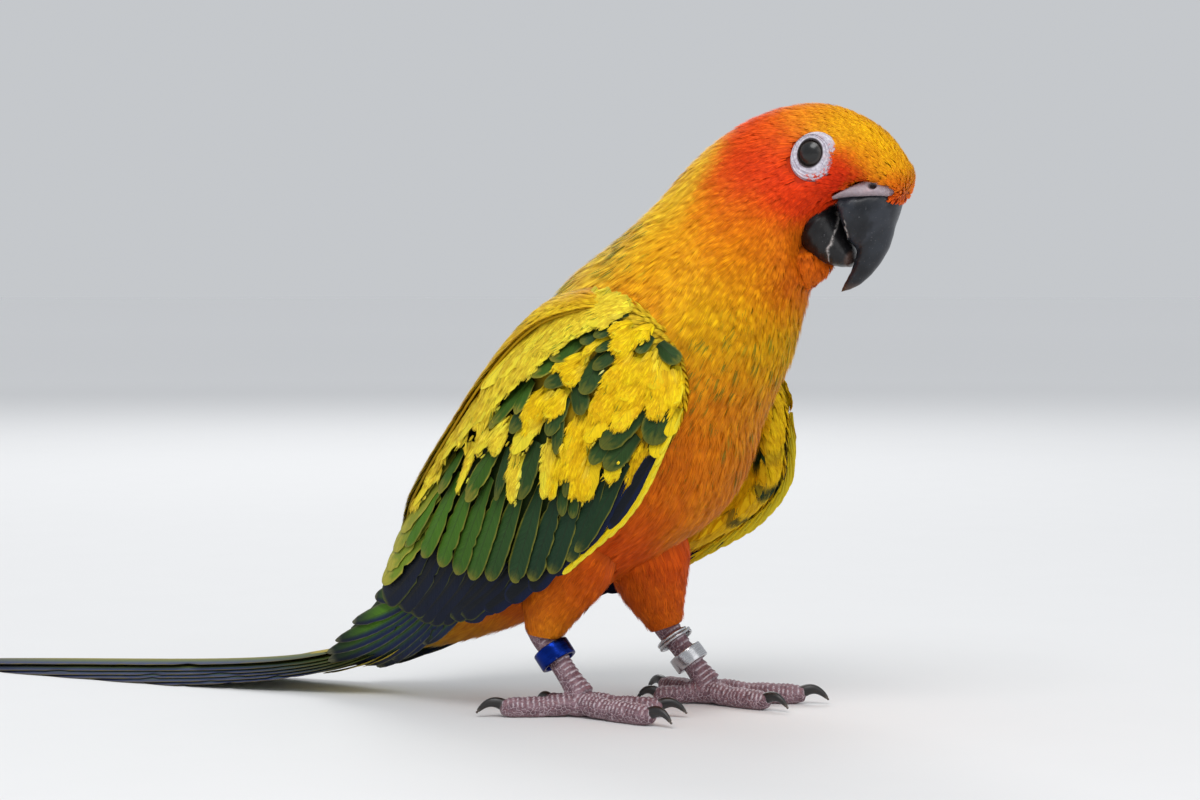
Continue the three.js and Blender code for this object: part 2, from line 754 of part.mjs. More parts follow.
function claw(leg, toe, grow = 0) {
  const path = toePath(leg, toe);
  const end = path[path.length - 1];
  const dir = unit(sub(end, path[path.length - 2]));
  dir[2] = 0;
  const along = unit(dir);
  const r = toe.r * 0.62;
  const long = toe.long > 12 ? 7.2 : 5.6;
  const bend = [0, 0.3, 0.6, 0.85, 1].map((t) =>
    add(end, add(mul(along, -0.6 + long * 0.86 * t), [0, 0, 0.5 + 1.5 * Math.sin(t * 2.2) - 2.9 * t * t])),
  );
  return tube(bend, [r, r * 0.86, r * 0.64, r * 0.4, r * 0.16], 6, grow);
}

// Rings worn on the legs: a band of coloured metal on the right, a steel band with wire loops on the left.
function band(leg, at, tall, inner, outer) {
  const { ankle, palm } = leg;
  const axis = unit(sub(ankle, palm));
  const centre = mixv(ankle, palm, at);
  const tilt = Math.atan2(axis[0], axis[2]) / DEG;
  const made = Manifold.cylinder(tall, outer, outer, 26, true).subtract(
    Manifold.cylinder(tall + 2, inner, inner, 26, true),
  );
  return made.rotate([0, tilt, 0]).translate(centre);
}

// A split ring of two turns of wire, with a groove between them.
function wireRing(leg, at, radius, wire, lean) {
  const { ankle, palm } = leg;
  const axis = unit(sub(ankle, palm));
  const tilt = Math.atan2(axis[0], axis[2]) / DEG;
  const profile = [
    [-1, 0],
    [-0.5, -1.5],
    [0.6, -1.5],
    [1, -0.8],
    [0.55, 0],
    [1, 0.8],
    [0.6, 1.5],
    [-0.5, 1.5],
  ];
  const rings = Array.from({ length: 16 }, (_, i) =>
    profile.map(([out, along]) => {
      const r = radius + wire * out;
      return [r * cos(22.5 * i), r * sin(22.5 * i), wire * along];
    }),
  );
  const points = rings.flat();
  const tris = [];
  for (let i = 0; i < 16; i++)
    for (let j = 0; j < 8; j++) {
      const a = i * 8 + j;
      const b = i * 8 + ((j + 1) % 8);
      const c = ((i + 1) % 16) * 8 + j;
      const d = ((i + 1) % 16) * 8 + ((j + 1) % 8);
      tris.push([a, b, d], [a, d, c]);
    }
  return solid(points, tris).rotate([lean, tilt, 0]).translate(mixv(ankle, palm, at));
}

// All the solids, then the cuts that leave each node clear of its neighbours.

const whole = trunk();
const neckTop = trunkAt(11.2);
const neckLow = trunkAt(8.3);
const planeOf = ([x, z, tilt]) => {
  const normal = [cos(tilt), 0, sin(tilt)];
  return [normal, normal[0] * x + normal[2] * z];
};
const [headSolid, belowHead] = cutBy(whole, ...planeOf(neckTop));
const [neckSolid, torsoSolid] = cutBy(belowHead, ...planeOf(neckLow));

const nodes = {};
// What lies on the neck's side of the head's cut.
const neckPlane = Manifold.cube([80, 80, 80], true)
  .translate([0, 0, -40 + GAP / 2])
  .rotate([0, 90 - neckTop[2], 0])
  .translate([neckTop[0], 0, neckTop[1]]);

// The face falls back round the bill, and a tuft of chin feathers lies under it.
const ball = (radii, place, turn) =>
  Manifold.sphere(1, 14).scale(radii).rotate([0, HEAD_PITCH + turn, 0]).translate(inHead(...place));
const scoop = ball([10.0, 9.4, 9.6], [13.6, 0, -14.6], 0);
const chin = ball([7.6, 6.0, 5.0], [4.6, 0, -23.4], -18);
const lidHole = (side) =>
  Manifold.cylinder(14, 2.95, 3.3, 20)
    .rotate([side > 0 ? -90 : 90, 0, 0])
    .translate(inHead(0.1, side * 7, 0.1));
const ringRoom = (side) =>
  Manifold.cylinder(4, 5.7, 8.6, 20)
    .rotate([side > 0 ? -90 : 90, 0, 0])
    .translate(inHead(0.8, side * (EYE_OUT - 1.2), 0));
const cereRoom = ball([7.4, 8.8, 3.9], [14.6, 0, -3.9], 10);
let head = headSolid.subtract(scoop).subtract(cereRoom).subtract(ringRoom(1)).subtract(ringRoom(-1));
head = join([head, chin, eyeRing(1), eyeRing(-1)]);
head = head.subtract(lidHole(1)).subtract(lidHole(-1)).subtract(neckPlane);
head = head.subtract(upperBill(GAP)).subtract(lowerBill(GAP)).subtract(cereBand(GAP));
head = head.subtract(eyeBall(1, GAP + 0.12)).subtract(eyeBall(-1, GAP + 0.12));
nodes.eye_right = eyeBall(-1);
nodes.eye_left = eyeBall(1);

const upper = upperBill();
const cereSolid = cere().subtract(upperBill(GAP)).subtract(lowerBill(GAP));
nodes.bill_upper = largest(upper);
nodes.bill_lower = largest(lowerBill().subtract(upperBill(GAP)));
nodes.cere = largest(cereSolid);
nodes.head = largest(head);
nodes.neck = largest(neckSolid);

const grownTrunk = trunk(GAP);
let torso = torsoSolid;
for (const [name, leg] of Object.entries(LEGS)) {
  torso = torso.subtract(thigh(leg, GAP));
  const worn = name === "right" ? band(leg, 0.34, 4.0, 3.45, 4.3) : band(leg, 0.57, 3.6, 3.4, 4.1);
  nodes[name === "right" ? "ring_blue" : "ring_steel"] = worn;
  if (name === "left") nodes.ring_wire = wireRing(leg, 0.25, 3.95, 0.42, 6);
  let step = foot(leg);
  TOES.forEach((toe) => {
    step = step.subtract(claw(leg, toe, GAP));
    nodes["claw_" + name + "_" + toe.name.slice(4)] = claw(leg, toe).trimByPlane([0, 0, 1], 0);
  });
  nodes["foot_" + name] = largest(step.trimByPlane([0, 0, 1], 0));
  nodes["thigh_" + name] = largest(
    thigh(leg).subtract(tube([leg.ankle, leg.palm].map((p, i) => (i ? p : add(p, [-3, 0, 4]))), [2.9 + GAP, 3.2 + GAP], 16)),
  );
}

const tailCore = loft(
  [2, 10, 20, 34, 50, 62].map((l, i) =>
    Array.from({ length: 12 }, (_, j) =>
      tailPoint(l, [5.2, 6.8, 8.0, 7.8, 6.0, 2.6][i] * cos(30 * j), -0.1 + [3.2, 3.1, 2.8, 2.3, 1.7, 0.8][i] * sin(30 * j)),
    ),
  ),
);
nodes.tail = largest(
  join([tailCore, ...tailFeathers()])
    .subtract(grownTrunk)
    .trimByPlane([0, 0, 1], 0),
);
torso = torso.subtract(trunk(0, 0, 0.4));
nodes.torso = largest(torso);

for (const [name, side] of [
  ["wing_right", -1],
  ["wing_left", 1],
])
  nodes[name] = largest(
    join([wingCore(side, 112), ...wingFeathers(side)])
      .subtract(grownTrunk)
      .subtract(tailPlain(GAP))
      .subtract(thigh(side < 0 ? LEGS.right : LEGS.left, GAP)),
  );

const bird = new THREE.Group();
bird.name = "sun_conure";
for (const [name, made] of Object.entries(nodes)) {
  const fine = FINE[name.split("_")[0]] ?? FINE.other;
  const mesh = largest(made.simplify(fine)).getMesh();
  const geometry = new THREE.BufferGeometry();
  const flat = new Float32Array(mesh.numVert * 3);
  for (let i = 0; i < mesh.numVert; i++)
    for (let k = 0; k < 3; k++) flat[i * 3 + k] = mesh.vertProperties[i * mesh.numProp + k] + SHIFT[k];
  geometry.setAttribute("position", new THREE.BufferAttribute(flat, 3));
  geometry.setIndex(new THREE.BufferAttribute(mesh.triVerts, 1));
  const node = new THREE.Mesh(geometry, new THREE.MeshStandardMaterial());
  node.name = name;
  bird.add(node);
}

export default bird;
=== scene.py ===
# %% [markdown]
# A sun conure, feather by feather.
# This lesson dresses a small parrot whose plain solids come ready made: they say how big it is and
# where each part goes. Here it gets its skin, some thirty thousand small feathers, the long vanes of
# wings and tail, the wet eye, the horn of the bill and the scaly feet.

# %% Open the frame
import math

import bmesh
import bpy
import numpy as np
from numpy import array, clip, concatenate, cos, exp, hypot, linspace, maximum, minimum, pi, sin
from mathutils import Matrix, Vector


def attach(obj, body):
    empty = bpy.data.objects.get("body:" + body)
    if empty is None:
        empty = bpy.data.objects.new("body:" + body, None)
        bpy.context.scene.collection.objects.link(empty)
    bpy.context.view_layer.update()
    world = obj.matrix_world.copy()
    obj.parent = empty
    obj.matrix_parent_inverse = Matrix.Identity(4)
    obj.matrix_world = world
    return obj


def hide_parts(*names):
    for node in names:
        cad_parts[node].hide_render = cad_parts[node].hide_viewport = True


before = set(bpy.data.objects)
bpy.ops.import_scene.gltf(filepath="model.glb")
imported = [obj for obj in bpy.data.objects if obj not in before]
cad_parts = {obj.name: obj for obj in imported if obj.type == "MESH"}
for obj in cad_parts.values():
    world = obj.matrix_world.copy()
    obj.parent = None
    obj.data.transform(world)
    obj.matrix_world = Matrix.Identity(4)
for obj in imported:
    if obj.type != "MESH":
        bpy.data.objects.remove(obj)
bpy.context.view_layer.update()
MM = 0.001
SHIFT = array([56.26, -0.9, 0.0])  # from the bird's own numbers to the middle of its box

# %% [markdown]
# The bird is described in millimetres by rows of numbers: each row is a station along the body.
# A smooth function runs through the rows, so that any place between two stations is known too.
# It works on whole arrays at once, which keeps thousands of feathers quick to place.


# %% Smooth functions and small vector helpers
def curve(rows):
    """A smooth function through rows of [place, value, value ...]."""
    rows = array(rows, float)
    at = rows[:, 0]
    index = np.arange(len(at))
    ahead = minimum(index + 1, len(at) - 1)
    behind = maximum(index - 1, 0)
    slope = (rows[ahead, 1:] - rows[behind, 1:]) / (at[ahead] - at[behind])[:, None]

    def value(place):
        place = clip(np.asarray(place, float), at[0], at[-1])
        i = clip(np.searchsorted(at, place, side="left") - 1, 0, len(at) - 2)
        span = (at[i + 1] - at[i])[..., None]
        t = (place - at[i])[..., None] / span
        low, high = rows[i, 1:], rows[i + 1, 1:]
        smooth = low * (2 * t**3 - 3 * t**2 + 1) + high * (3 * t**2 - 2 * t**3)
        return smooth + span * (slope[i] * (t**3 - 2 * t**2 + t) + slope[i + 1] * (t**3 - t**2))

    return value


def vec(*parts):
    return np.stack(np.broadcast_arrays(*[np.asarray(p, float) for p in parts]), axis=-1)


def unit(v):
    return v / maximum(np.linalg.norm(v, axis=-1, keepdims=True), 1e-9)


def lattice(a, b):
    """Two lines of numbers spread over a grid: a changes from row to row, b along each row."""
    return np.meshgrid(a, b, indexing="ij")


def mix(a, b, t):
    return a + (b - a) * t


def ease(low, high, value):
    """0 below low, 1 above high, and a soft step between."""
    t = clip((np.asarray(value, float) - low) / (high - low), 0, 1)
    return t * t * (3 - 2 * t)


def deg(angle):
    return np.radians(angle)


def opaque(rgb):
    """Colours with a one as their fourth value, as Blender keeps them."""
    return concatenate([rgb, np.ones(np.shape(rgb)[:-1] + (1,))], axis=-1)


SIDES = {-1: "right", 1: "left"}
rng = np.random.default_rng(11)
print("the bird's left is at +Y:", SIDES)


# %% [markdown]
# A mesh is made from a list of points and a list of faces. Each point may carry values with names,
# such as the way the feathers lie there. Materials and Geometry Nodes read them by name later.


# %% Mesh helpers
def add_values(mesh, values):
    """Store named arrays on the points of a mesh: one number, three, or a colour of four."""
    for name, data in values.items():
        data = np.asarray(data, np.float32)
        if data.ndim == 1:
            mesh.attributes.new(name, "FLOAT", "POINT").data.foreach_set("value", data)
        elif data.shape[1] == 3:
            mesh.attributes.new(name, "FLOAT_VECTOR", "POINT").data.foreach_set("vector", data.ravel())
        else:
            mesh.attributes.new(name, "FLOAT_COLOR", "POINT").data.foreach_set("color", data.ravel())


def put(name, data):
    """A new object in the scene, at the origin."""
    made = bpy.data.objects.new(name, data)
    bpy.context.scene.collection.objects.link(made)
    return made


def as_built(thing, name):
    """What an object's modifiers make of it, as a plain mesh; the object itself goes."""
    bpy.context.view_layer.update()
    mesh = bpy.data.meshes.new_from_object(thing.evaluated_get(bpy.context.evaluated_depsgraph_get()))
    bpy.data.objects.remove(thing)
    mesh.name = name
    return mesh


def make_mesh(name, points_mm, faces, values, material=None, rim=None):
    """A mesh object at the origin from points in the bird's millimetres."""
    points = (np.asarray(points_mm, float) + SHIFT) * MM
    mesh = bpy.data.meshes.new(name)
    mesh.from_pydata(points.tolist(), [], [list(map(int, f)) for f in faces])
    mesh.polygons.foreach_set("use_smooth", [True] * len(mesh.polygons))
    add_values(mesh, values)
    if rim is not None:
        # The upper and the lower face of a thin blade meet in a sharp edge.
        ends = np.empty(2 * len(mesh.edges), np.int32)
        mesh.edges.foreach_get("vertices", ends)
        sharp = np.asarray(rim)[ends.reshape(-1, 2)].all(axis=1)
        mesh.attributes.new("sharp_edge", "BOOLEAN", "EDGE").data.foreach_set("value", sharp)
    if material:
        mesh.materials.append(material)
    mesh.update()
    print(name, len(mesh.polygons), "faces")
    return put(name, mesh)


def grid_faces(rows, across, start=0, wrap=False):
    """Quads over a grid of points that is stored row by row."""
    last = across if wrap else across - 1
    return [
        (start + i * across + j, start + i * across + (j + 1) % across,
         start + (i + 1) * across + (j + 1) % across, start + (i + 1) * across + j)
        for i in range(rows - 1)
        for j in range(last)
    ]


def outward(points, faces):
    """The faces of a closed surface, turned round if they look inward."""
    quads = array([f for f in faces if len(f) == 4])
    a, b, c = (points[quads[:, i]] - points.mean(axis=0) for i in (0, 1, 2))
    return [f[::-1] for f in faces] if (np.cross(a, b) * c).sum() < 0 else faces


# %% [markdown]
# Shader and geometry maths is easier to read as ordinary expressions. A small class wraps a socket
# and adds a Math node for each + - * and /. Every other node comes from one method, which takes the
# node's type, its settings and what goes into its sockets.


# %% Expressions that build nodes
class Term:
    def __init__(self, graph, socket):
        self.graph = graph
        self.socket = socket

    def other(self, name):
        """Another output of the same node."""
        return Term(self.graph, self.socket.node.outputs[name])

    def maths(self, operation, *rest):
        """A Math node, or a Vector Math node where this is a vector."""
        kind = "ShaderNodeVectorMath" if self.graph.is_vector(self) else "ShaderNodeMath"
        return self.graph.node(kind, {"operation": operation}, dict(enumerate((self,) + rest)))

    def __add__(self, other):
        return self.maths("ADD", other)

    def __sub__(self, other):
        return self.maths("SUBTRACT", other)

    def __mul__(self, other):
        if self.graph.is_vector(self) and not self.graph.is_vector(other):
            return self.graph.node(
                "ShaderNodeVectorMath", {"operation": "SCALE"}, {"Vector": self, "Scale": other})
        return self.maths("MULTIPLY", other)

    def __rsub__(self, other):
        return self.graph.node("ShaderNodeMath", {"operation": "SUBTRACT"}, {0: other, 1: self})

    __radd__ = __add__
    __rmul__ = __mul__

    def soft_step(self, low, high):
        return self.graph.node(
            "ShaderNodeMapRange", {"interpolation_type": "SMOOTHSTEP"},
            {"Value": self, "From Min": low, "From Max": high})


class Graph:
    def __init__(self, tree):
        self.tree = tree

    def is_vector(self, value):
        return isinstance(value, Term) and value.socket.type in {"VECTOR", "RGBA"}

    def node(self, kind, settings=None, sockets=None, out=0):
        """One node: its settings first, then the values or links of its sockets."""
        made = self.tree.nodes.new(kind)
        for key, value in (settings or {}).items():
            setattr(made, key, value)
        for key, value in (sockets or {}).items():
            if isinstance(value, Term):
                self.tree.links.new(value.socket, made.inputs[key])
            else:
                made.inputs[key].default_value = value
        return Term(self, made.outputs[out]) if made.outputs else made

    def number(self, *names):
        """One or more named values of the mesh, in a shader."""
        found = [self.node("ShaderNodeAttribute", {"attribute_name": name}, out="Fac") for name in names]
        return found if len(found) > 1 else found[0]

    def tint(self, name):
        """A named colour of the mesh, in a shader."""
        return self.node("ShaderNodeAttribute", {"attribute_name": name}, out="Color")

    def place(self):
        return self.node("ShaderNodeTexCoord", out="Object")

    def xyz(self, *values):
        return self.node("ShaderNodeCombineXYZ", {}, dict(enumerate(values)))

    def grey(self, light):
        return self.node("ShaderNodeCombineColor", {}, {0: light, 1: light, 2: light})

    def blend(self, a, b, factor, kind="MIX"):
        """Mix two colours."""
        return self.node(
            "ShaderNodeMix", {"data_type": "RGBA", "blend_type": kind, "clamp_factor": True},
            {0: factor, 6: a, 7: b}, out=2)

    def noise(self, vector, scale, detail=3.0, rough=0.5):
        return self.node(
            "ShaderNodeTexNoise", {},
            {"Vector": vector, "Scale": scale, "Detail": detail, "Roughness": rough})

    def bump(self, height, strength, distance):
        return self.node("ShaderNodeBump", {}, {"Height": height, "Strength": strength, "Distance": distance})


# %% Finishes
def material(name, build, **constant):
    """A Principled material whose varying sockets come from build(graph)."""
    made = bpy.data.materials.new(name)
    made.use_nodes = True
    tree = made.node_tree
    shader = tree.nodes["Principled BSDF"]
    for key, value in constant.items():
        shader.inputs[key.replace("_", " ")].default_value = value
    for key, term in build(Graph(tree)).items():
        tree.links.new(term.socket, shader.inputs[key])
    print("finish", name, "of", len(tree.nodes), "nodes")
    return made


# %% [markdown]
# The trunk is the bird's main form: from the root of the tail over the belly and the neck to the
# face. Each station has a centre, a tilt, an upper and a lower radius and a half width. These are
# the numbers of the solids, so the plumage can lie exactly inside them.

# %% The trunk
TRUNK = [
    [0, -50.5, 14.6, 30, 4, 3.8, 6, 0],
    [1, -46, 17.4, 33, 6.6, 6.8, 9, 0],
    [2, -36, 26.3, 38, 12, 14, 14.5, 0],
    [3, -22, 39.5, 44, 20, 22, 21, 0],
    [4, -8, 52.5, 48, 26.9, 27.5, 26, 0],
    [5, 4.4, 63.3, 49.5, 30.2, 30.3, 28.8, 0],
    [6, 12.3, 73, 50, 29.9, 29.3, 29, 0],
    [7, 16.9, 80.5, 50, 28.5, 26.8, 27.6, 0],
    [8, 26.1, 91.8, 52, 25.2, 23.7, 22.6, 0],
    [9, 30.3, 97.8, 54, 23.6, 21.4, 19.3, 0],
    [10, 34, 103.9, 58, 21.8, 19.2, 17, 0.02],
    [11, 39.5, 110, 40, 21, 19, 15.4, 0.05],
    [12, 45.5, 115.3, 15, 19.8, 18.8, 14, 0.1],
    [13, 52, 119, -8, 17.3, 13.8, 12.7, 0.14],
    [14, 59.9, 121.3, -26, 12.1, 11, 11.3, 0.14],
    [15, 65.8, 120.4, -26, 9, 7.2, 9, 0.1],
    [16, 71.2, 117.7, -26, 5.9, 4.6, 6.2, 0.05],
]
FACE = TRUNK[-1][0]
trunk_at = curve(TRUNK)
print("trunk of", len(TRUNK), "stations, from the root of the tail to the face")


def trunk_point(k, t, grow=0.0):
    """A point of the trunk: station k, angle t in degrees round it, grown outward."""
    x, z, tilt, up, low, half, narrow = np.moveaxis(trunk_at(k), -1, 0)
    tilt = deg(tilt)
    s, c = sin(deg(t)), cos(deg(t))
    n = (np.where(s > 0, up, low) + grow) * s
    return vec(x - sin(tilt) * n, (half * (1 - narrow * s) + grow) * c, z + cos(tilt) * n)


# %% [markdown]
# The head has directions of its own, because it looks down a little: forward along the bill, to the
# left, and up through the crown. The face falls back round the root of the bill, so the skin is
# pressed in by round bodies there, and a chin bulges out below.

# %% The head's own directions
HEAD_PITCH = deg(26)
HEAD_AT = array([54.9, 0, 124.8])
FORWARD = array([math.cos(HEAD_PITCH), 0, -math.sin(HEAD_PITCH)])
UPWARD = array([math.sin(HEAD_PITCH), 0, math.cos(HEAD_PITCH)])
EYE_R = 4.3
EYE_OUT = 11.5
EYE_MIDDLE = 0.1  # forward and up
FOREHEAD = array([72.9, 0.0, 116.0])
HOLLOWS = [
    # radii, place in the head and turn of the seats of cere, lower bill and the cere's rear corner
    ((8.4, 9.4, 4.9), (14.9, 0, -3.5), 8), ((10.0, 9.4, 9.6), (13.6, 0, -14.6), 0),
    ((2.6, 12.0, 2.2), (9.9, 0, -6.0), 0),
]
CHIN = ((7.6, 6.0, 5.0), (4.6, 0, -23.4), -18)


def in_head(forward, left, up):
    forward, left, up = np.broadcast_arrays(
        np.asarray(forward, float), np.asarray(left, float), np.asarray(up, float))
    return (HEAD_AT + forward[..., None] * FORWARD + up[..., None] * UPWARD
            + left[..., None] * array([0.0, 1.0, 0.0]))


def to_head(points):
    """Forward, left and up of points, seen from between the eyes."""
    d = points - HEAD_AT
    return d @ FORWARD, d[..., 1], d @ UPWARD


def oval_frame(place, turn):
    angle = HEAD_PITCH + deg(turn)
    axes = array([[math.cos(angle), 0, -math.sin(angle)], [0, 1, 0],
                  [math.sin(angle), 0, math.cos(angle)]])
    return axes, in_head(*place)


def bulge(points, radii, place, turn):
    """Move what lies inside an oval body out to its surface."""
    axes, centre = oval_frame(place, turn)
    local = ((points - centre) @ axes.T) / radii
    reach = np.linalg.norm(local, axis=-1, keepdims=True)
    local = np.where(reach < 1, local / maximum(reach, 1e-6), local)
    return (local * radii) @ axes + centre


def hollow(points, inside, radii, place, turn):
    """Draw what lies in an oval body inwards, towards a point deeper inside, until it is clear."""
    axes, centre = oval_frame(place, turn)
    local = ((points - centre) @ axes.T) / radii
    way = ((inside - centre) @ axes.T) / radii - local
    a = (way * way).sum(-1)
    b = (local * way).sum(-1)
    c = (local * local).sum(-1) - 1
    share = (-b + np.sqrt(clip(b * b - a * c, 0, None))) / maximum(a, 1e-9)
    share = np.where(c < 0, clip(share, 0, 0.97), 0)
    return points + (inside - points) * share[..., None]


# %% The skin of trunk and head
def coat_depth(k):
    """How far the skin lies under the tips of the feathers."""
    return curve([[0, 1.2], [2, 1.9], [5, 2.2], [8, 2.1], [10, 1.8], [12, 1.3], [14, 0.9], [16, 0.6]])(k)


def forehead_lobe(points):
    """Where the middle of the forehead overhangs the cere like a small fringe."""
    forward, left, up = to_head(points)
    return ease(17.0, 18.4, forward) * ease(5.6, 4.2, abs(left)) * ease(-6.2, -5.0, up)


def ring_reach(angle):
    """How far the bare ring round the eye reaches in each direction; it is widest below in front."""
    return 5.5 + 0.7 * cos(angle) - 0.6 * sin(angle) + 0.25 * cos(angle + deg(45))


def trunk_axis(k):
    centre = trunk_at(minimum(k, FACE))
    return vec(centre[..., 0], 0 * k, centre[..., 1])


def trunk_plain(k, t, lift=0.0):
    """The trunk under its coat; past the last station a dome closes the forehead."""
    p = trunk_point(minimum(k, FACE), t, lift - coat_depth(k)[..., 0])
    axis = trunk_axis(k)
    turn = clip(k - FACE, 0, 1)[..., None] * pi / 2
    return axis + (p - axis) * cos(turn) ** 0.72 + (FOREHEAD - axis) * sin(turn)


def trunk_skin(k, t, lift=0.0):
    """The skin of trunk and head at station k and angle t."""
    plain = p = trunk_plain(k, t, lift)
    inner = 0.5 - lift
    axis = trunk_axis(k)
    for radii, place, turn in HOLLOWS:
        p = hollow(p, axis, array(radii) + inner, place, turn)
    p = bulge(p, array(CHIN[0]) - inner, *CHIN[1:])
    p = mix(p, plain, forehead_lobe(plain)[..., None])
    # The bare ring sits in a shallow flat on each side.
    forward, left, up = to_head(p)
    inside = 1 - ease(5.0, 7.6, hypot(forward - 0.8, up))
    limit = EYE_OUT - 1.6 + lift
    flat = np.sign(left) * minimum(abs(left), limit)
    p = p.copy()
    p[..., 1] = mix(left, flat, inside)
    return p


# %% [markdown]
# The markings of the plumage are given as tones at named places, such as the ear, the nape or the
# flank. A feather's colour is the mean of the tones near it, weighted by how near they are, so the
# colours melt into each other as they do on the bird. Both sides of the bird share them.

# %% Tones of the body
MARKS = [
    # x, side, z, reach, red, green, blue
    [53.9, 6.8, 133.5, 3.8, 0.92, 0.38, 0.016],  # crown
    [62.7, 6, 130.6, 4, 0.92, 0.52, 0.008],  # front of the crown
    [69.5, 3.5, 125.6, 3, 0.92, 0.56, 0.006],  # brow
    [68.4, 7, 123, 2, 0.9, 0.36, 0.008],
    [74, 2.4, 120.8, 3.2, 0.92, 0.52, 0.008],  # forehead
    [73.2, 3.2, 115.6, 2.6, 0.84, 0.05, 0.006],  # over the cere
    [46.1, 8.8, 130, 5, 0.9, 0.12, 0.01],  # over the eye
    [45, 11.9, 123.8, 5.2, 0.86, 0.05, 0.006],  # behind the eye
    [40.6, 12.6, 121.3, 4.2, 0.8, 0.075, 0.009],  # ear
    [39, 14.3, 115.8, 4.2, 0.84, 0.12, 0.007],
    [53.2, 12.1, 115.7, 3.6, 0.84, 0.055, 0.006],  # under the eye
    [61.9, 10.6, 121, 3, 0.76, 0.036, 0.006],  # lores
    [64.6, 9.6, 118.6, 2.8, 0.66, 0.032, 0.005],
    [57.5, 10, 113.4, 3, 0.76, 0.05, 0.006],
    [50.5, 9.9, 106.6, 3.4, 0.84, 0.24, 0.008],  # behind the gape
    [35.5, 14.4, 114.8, 4, 0.94, 0.36, 0.004],  # cheek
    [41.7, 15, 109.3, 4.5, 0.92, 0.31, 0.003],
    [50.4, 6, 98.6, 5, 0.7, 0.13, 0.005],  # throat
    [28.8, 6.9, 124.9, 4.5, 0.96, 0.68, 0.04],  # nape
    [24.2, 10.3, 117.2, 5.5, 0.96, 0.72, 0.036],
    [31.5, 16, 108.3, 5, 0.95, 0.46, 0.008],  # side of the neck
    [25.2, 17.9, 102.8, 6, 0.95, 0.58, 0.01],
    [42.6, 14.4, 98.4, 5, 0.84, 0.36, 0.004],
    [22.2, 21.9, 95.2, 6, 0.9, 0.38, 0.008],  # shoulder
    [37, 17.9, 90.9, 6, 0.84, 0.6, 0.004],  # upper breast
    [47.1, 5.2, 86.4, 6, 0.8, 0.5, 0.004],
    [37.9, 17.2, 82.2, 6.5, 0.8, 0.36, 0.01],
    [35.9, 16.2, 71.3, 7, 0.78, 0.26, 0.007],  # breast
    [40.9, 4.2, 70.9, 6, 0.78, 0.33, 0.008],
    [28, 22, 64, 6, 0.76, 0.19, 0.006],
    [31.8, 14.6, 60.5, 6, 0.76, 0.24, 0.006],  # lower breast
    [25, 19.4, 51.4, 6.5, 0.74, 0.14, 0.006],  # belly
    [32.8, 5, 53.2, 6, 0.74, 0.26, 0.006],
    [12.9, 19.2, 42.2, 6.5, 0.72, 0.1, 0.006],  # flank
    [7.5, 16.2, 34.3, 5, 0.72, 0.13, 0.006],
    [3.7, 20, 29, 5, 0.74, 0.2, 0.006],  # thigh
    [-4, 14, 22, 4, 0.78, 0.34, 0.012],
    [11.6, 12.4, 104, 5, 0.92, 0.72, 0.045],  # mantle
    [0, 12.7, 96.3, 7, 0.9, 0.7, 0.05],
    [-18, 10, 80, 9, 0.8, 0.58, 0.035],  # back
    [-38, 8, 56, 10, 0.62, 0.5, 0.025],
    [-54, 5, 32, 9, 0.42, 0.36, 0.018],  # rump
    [-6, 10, 24, 8, 0.66, 0.14, 0.007],  # vent
    [-24, 6, 17, 7, 0.5, 0.22, 0.01],
    [-42, 4, 10, 7, 0.26, 0.19, 0.01],  # under the tail
]


def body_tone(points):
    """The coat's colour at places anywhere on the bird."""
    folded = points * array([1.0, 0.0, 1.0]) + abs(points) * array([0.0, 1.0, 0.0])
    shape = folded.shape[:-1]
    flat = folded.reshape(-1, 3)
    total = np.zeros((len(flat), 3))
    weight = np.zeros((len(flat), 1))
    for mark in array(MARKS):
        d2 = ((flat - mark[:3]) ** 2).sum(axis=1, keepdims=True)
        w = exp(-d2 / (2 * mark[3] ** 2)) + 1e-4 / (1 + d2)
        total += w * mark[4:7]
        weight += w
    return opaque((total / weight).reshape(shape + (3,)))


# %% [markdown]
# How long the feathers are, and how green the fleck on each, also changes over the bird: tiny and
# hair-like round the bill and eye, longer on neck and breast, longest on back and flanks.

# %% Sizes of the small feathers
def feather_length(k, t):
    length = curve([[0, 9], [3, 10.5], [6, 10], [8, 8.5], [10, 6.6], [11.5, 5.0], [13, 3.7],
                    [14.5, 3.0], [16, 2.2]])(k)[..., 0]
    return length * (1 + 0.12 * sin(deg(t)))


def fleck_amount(points):
    """Where olive streaks cross the yellow: on mantle and back, and softly on the upper breast."""
    x, z = points[..., 0], points[..., 2]
    mantle = ease(10, -4, x) * ease(58, 80, z)
    rump = ease(-30, -48, x) * 0.8
    breast = 0.16 * exp(-((x - 40) ** 2) / 120 - ((z - 83) ** 2) / 140)
    lower = 0.1 * exp(-((x - 34) ** 2) / 100 - ((z - 62) ** 2) / 220)
    nape = 0.35 * exp(-((x - 14) ** 2) / 60 - ((z - 108) ** 2) / 50)
    return clip(mantle * 0.75 + rump + breast + lower + nape, 0, 1)


# %% [markdown]
# The skin is a closed surface of rings. It is also the ground on which the feathers grow, so every
# point of it keeps the direction in which they lie, which is back along the body, and the outward
# direction. A copy cut open along the belly keeps its unwrap too.

# %% Growing ground of trunk and head
REGION = {"face": 1, "head": 2, "neck": 3, "breast": 4, "back": 5, "belly": 6, "thighs": 7,
          "wing": 8, "wing_down": 9, "shoulder": 10}


def frame_of(grid):
    """Outward and along directions of a grid of points [along, around, 3]."""
    along = np.gradient(grid, axis=0)
    around = np.gradient(grid, axis=1)
    out = unit(np.cross(around, along))
    return unit(along), out


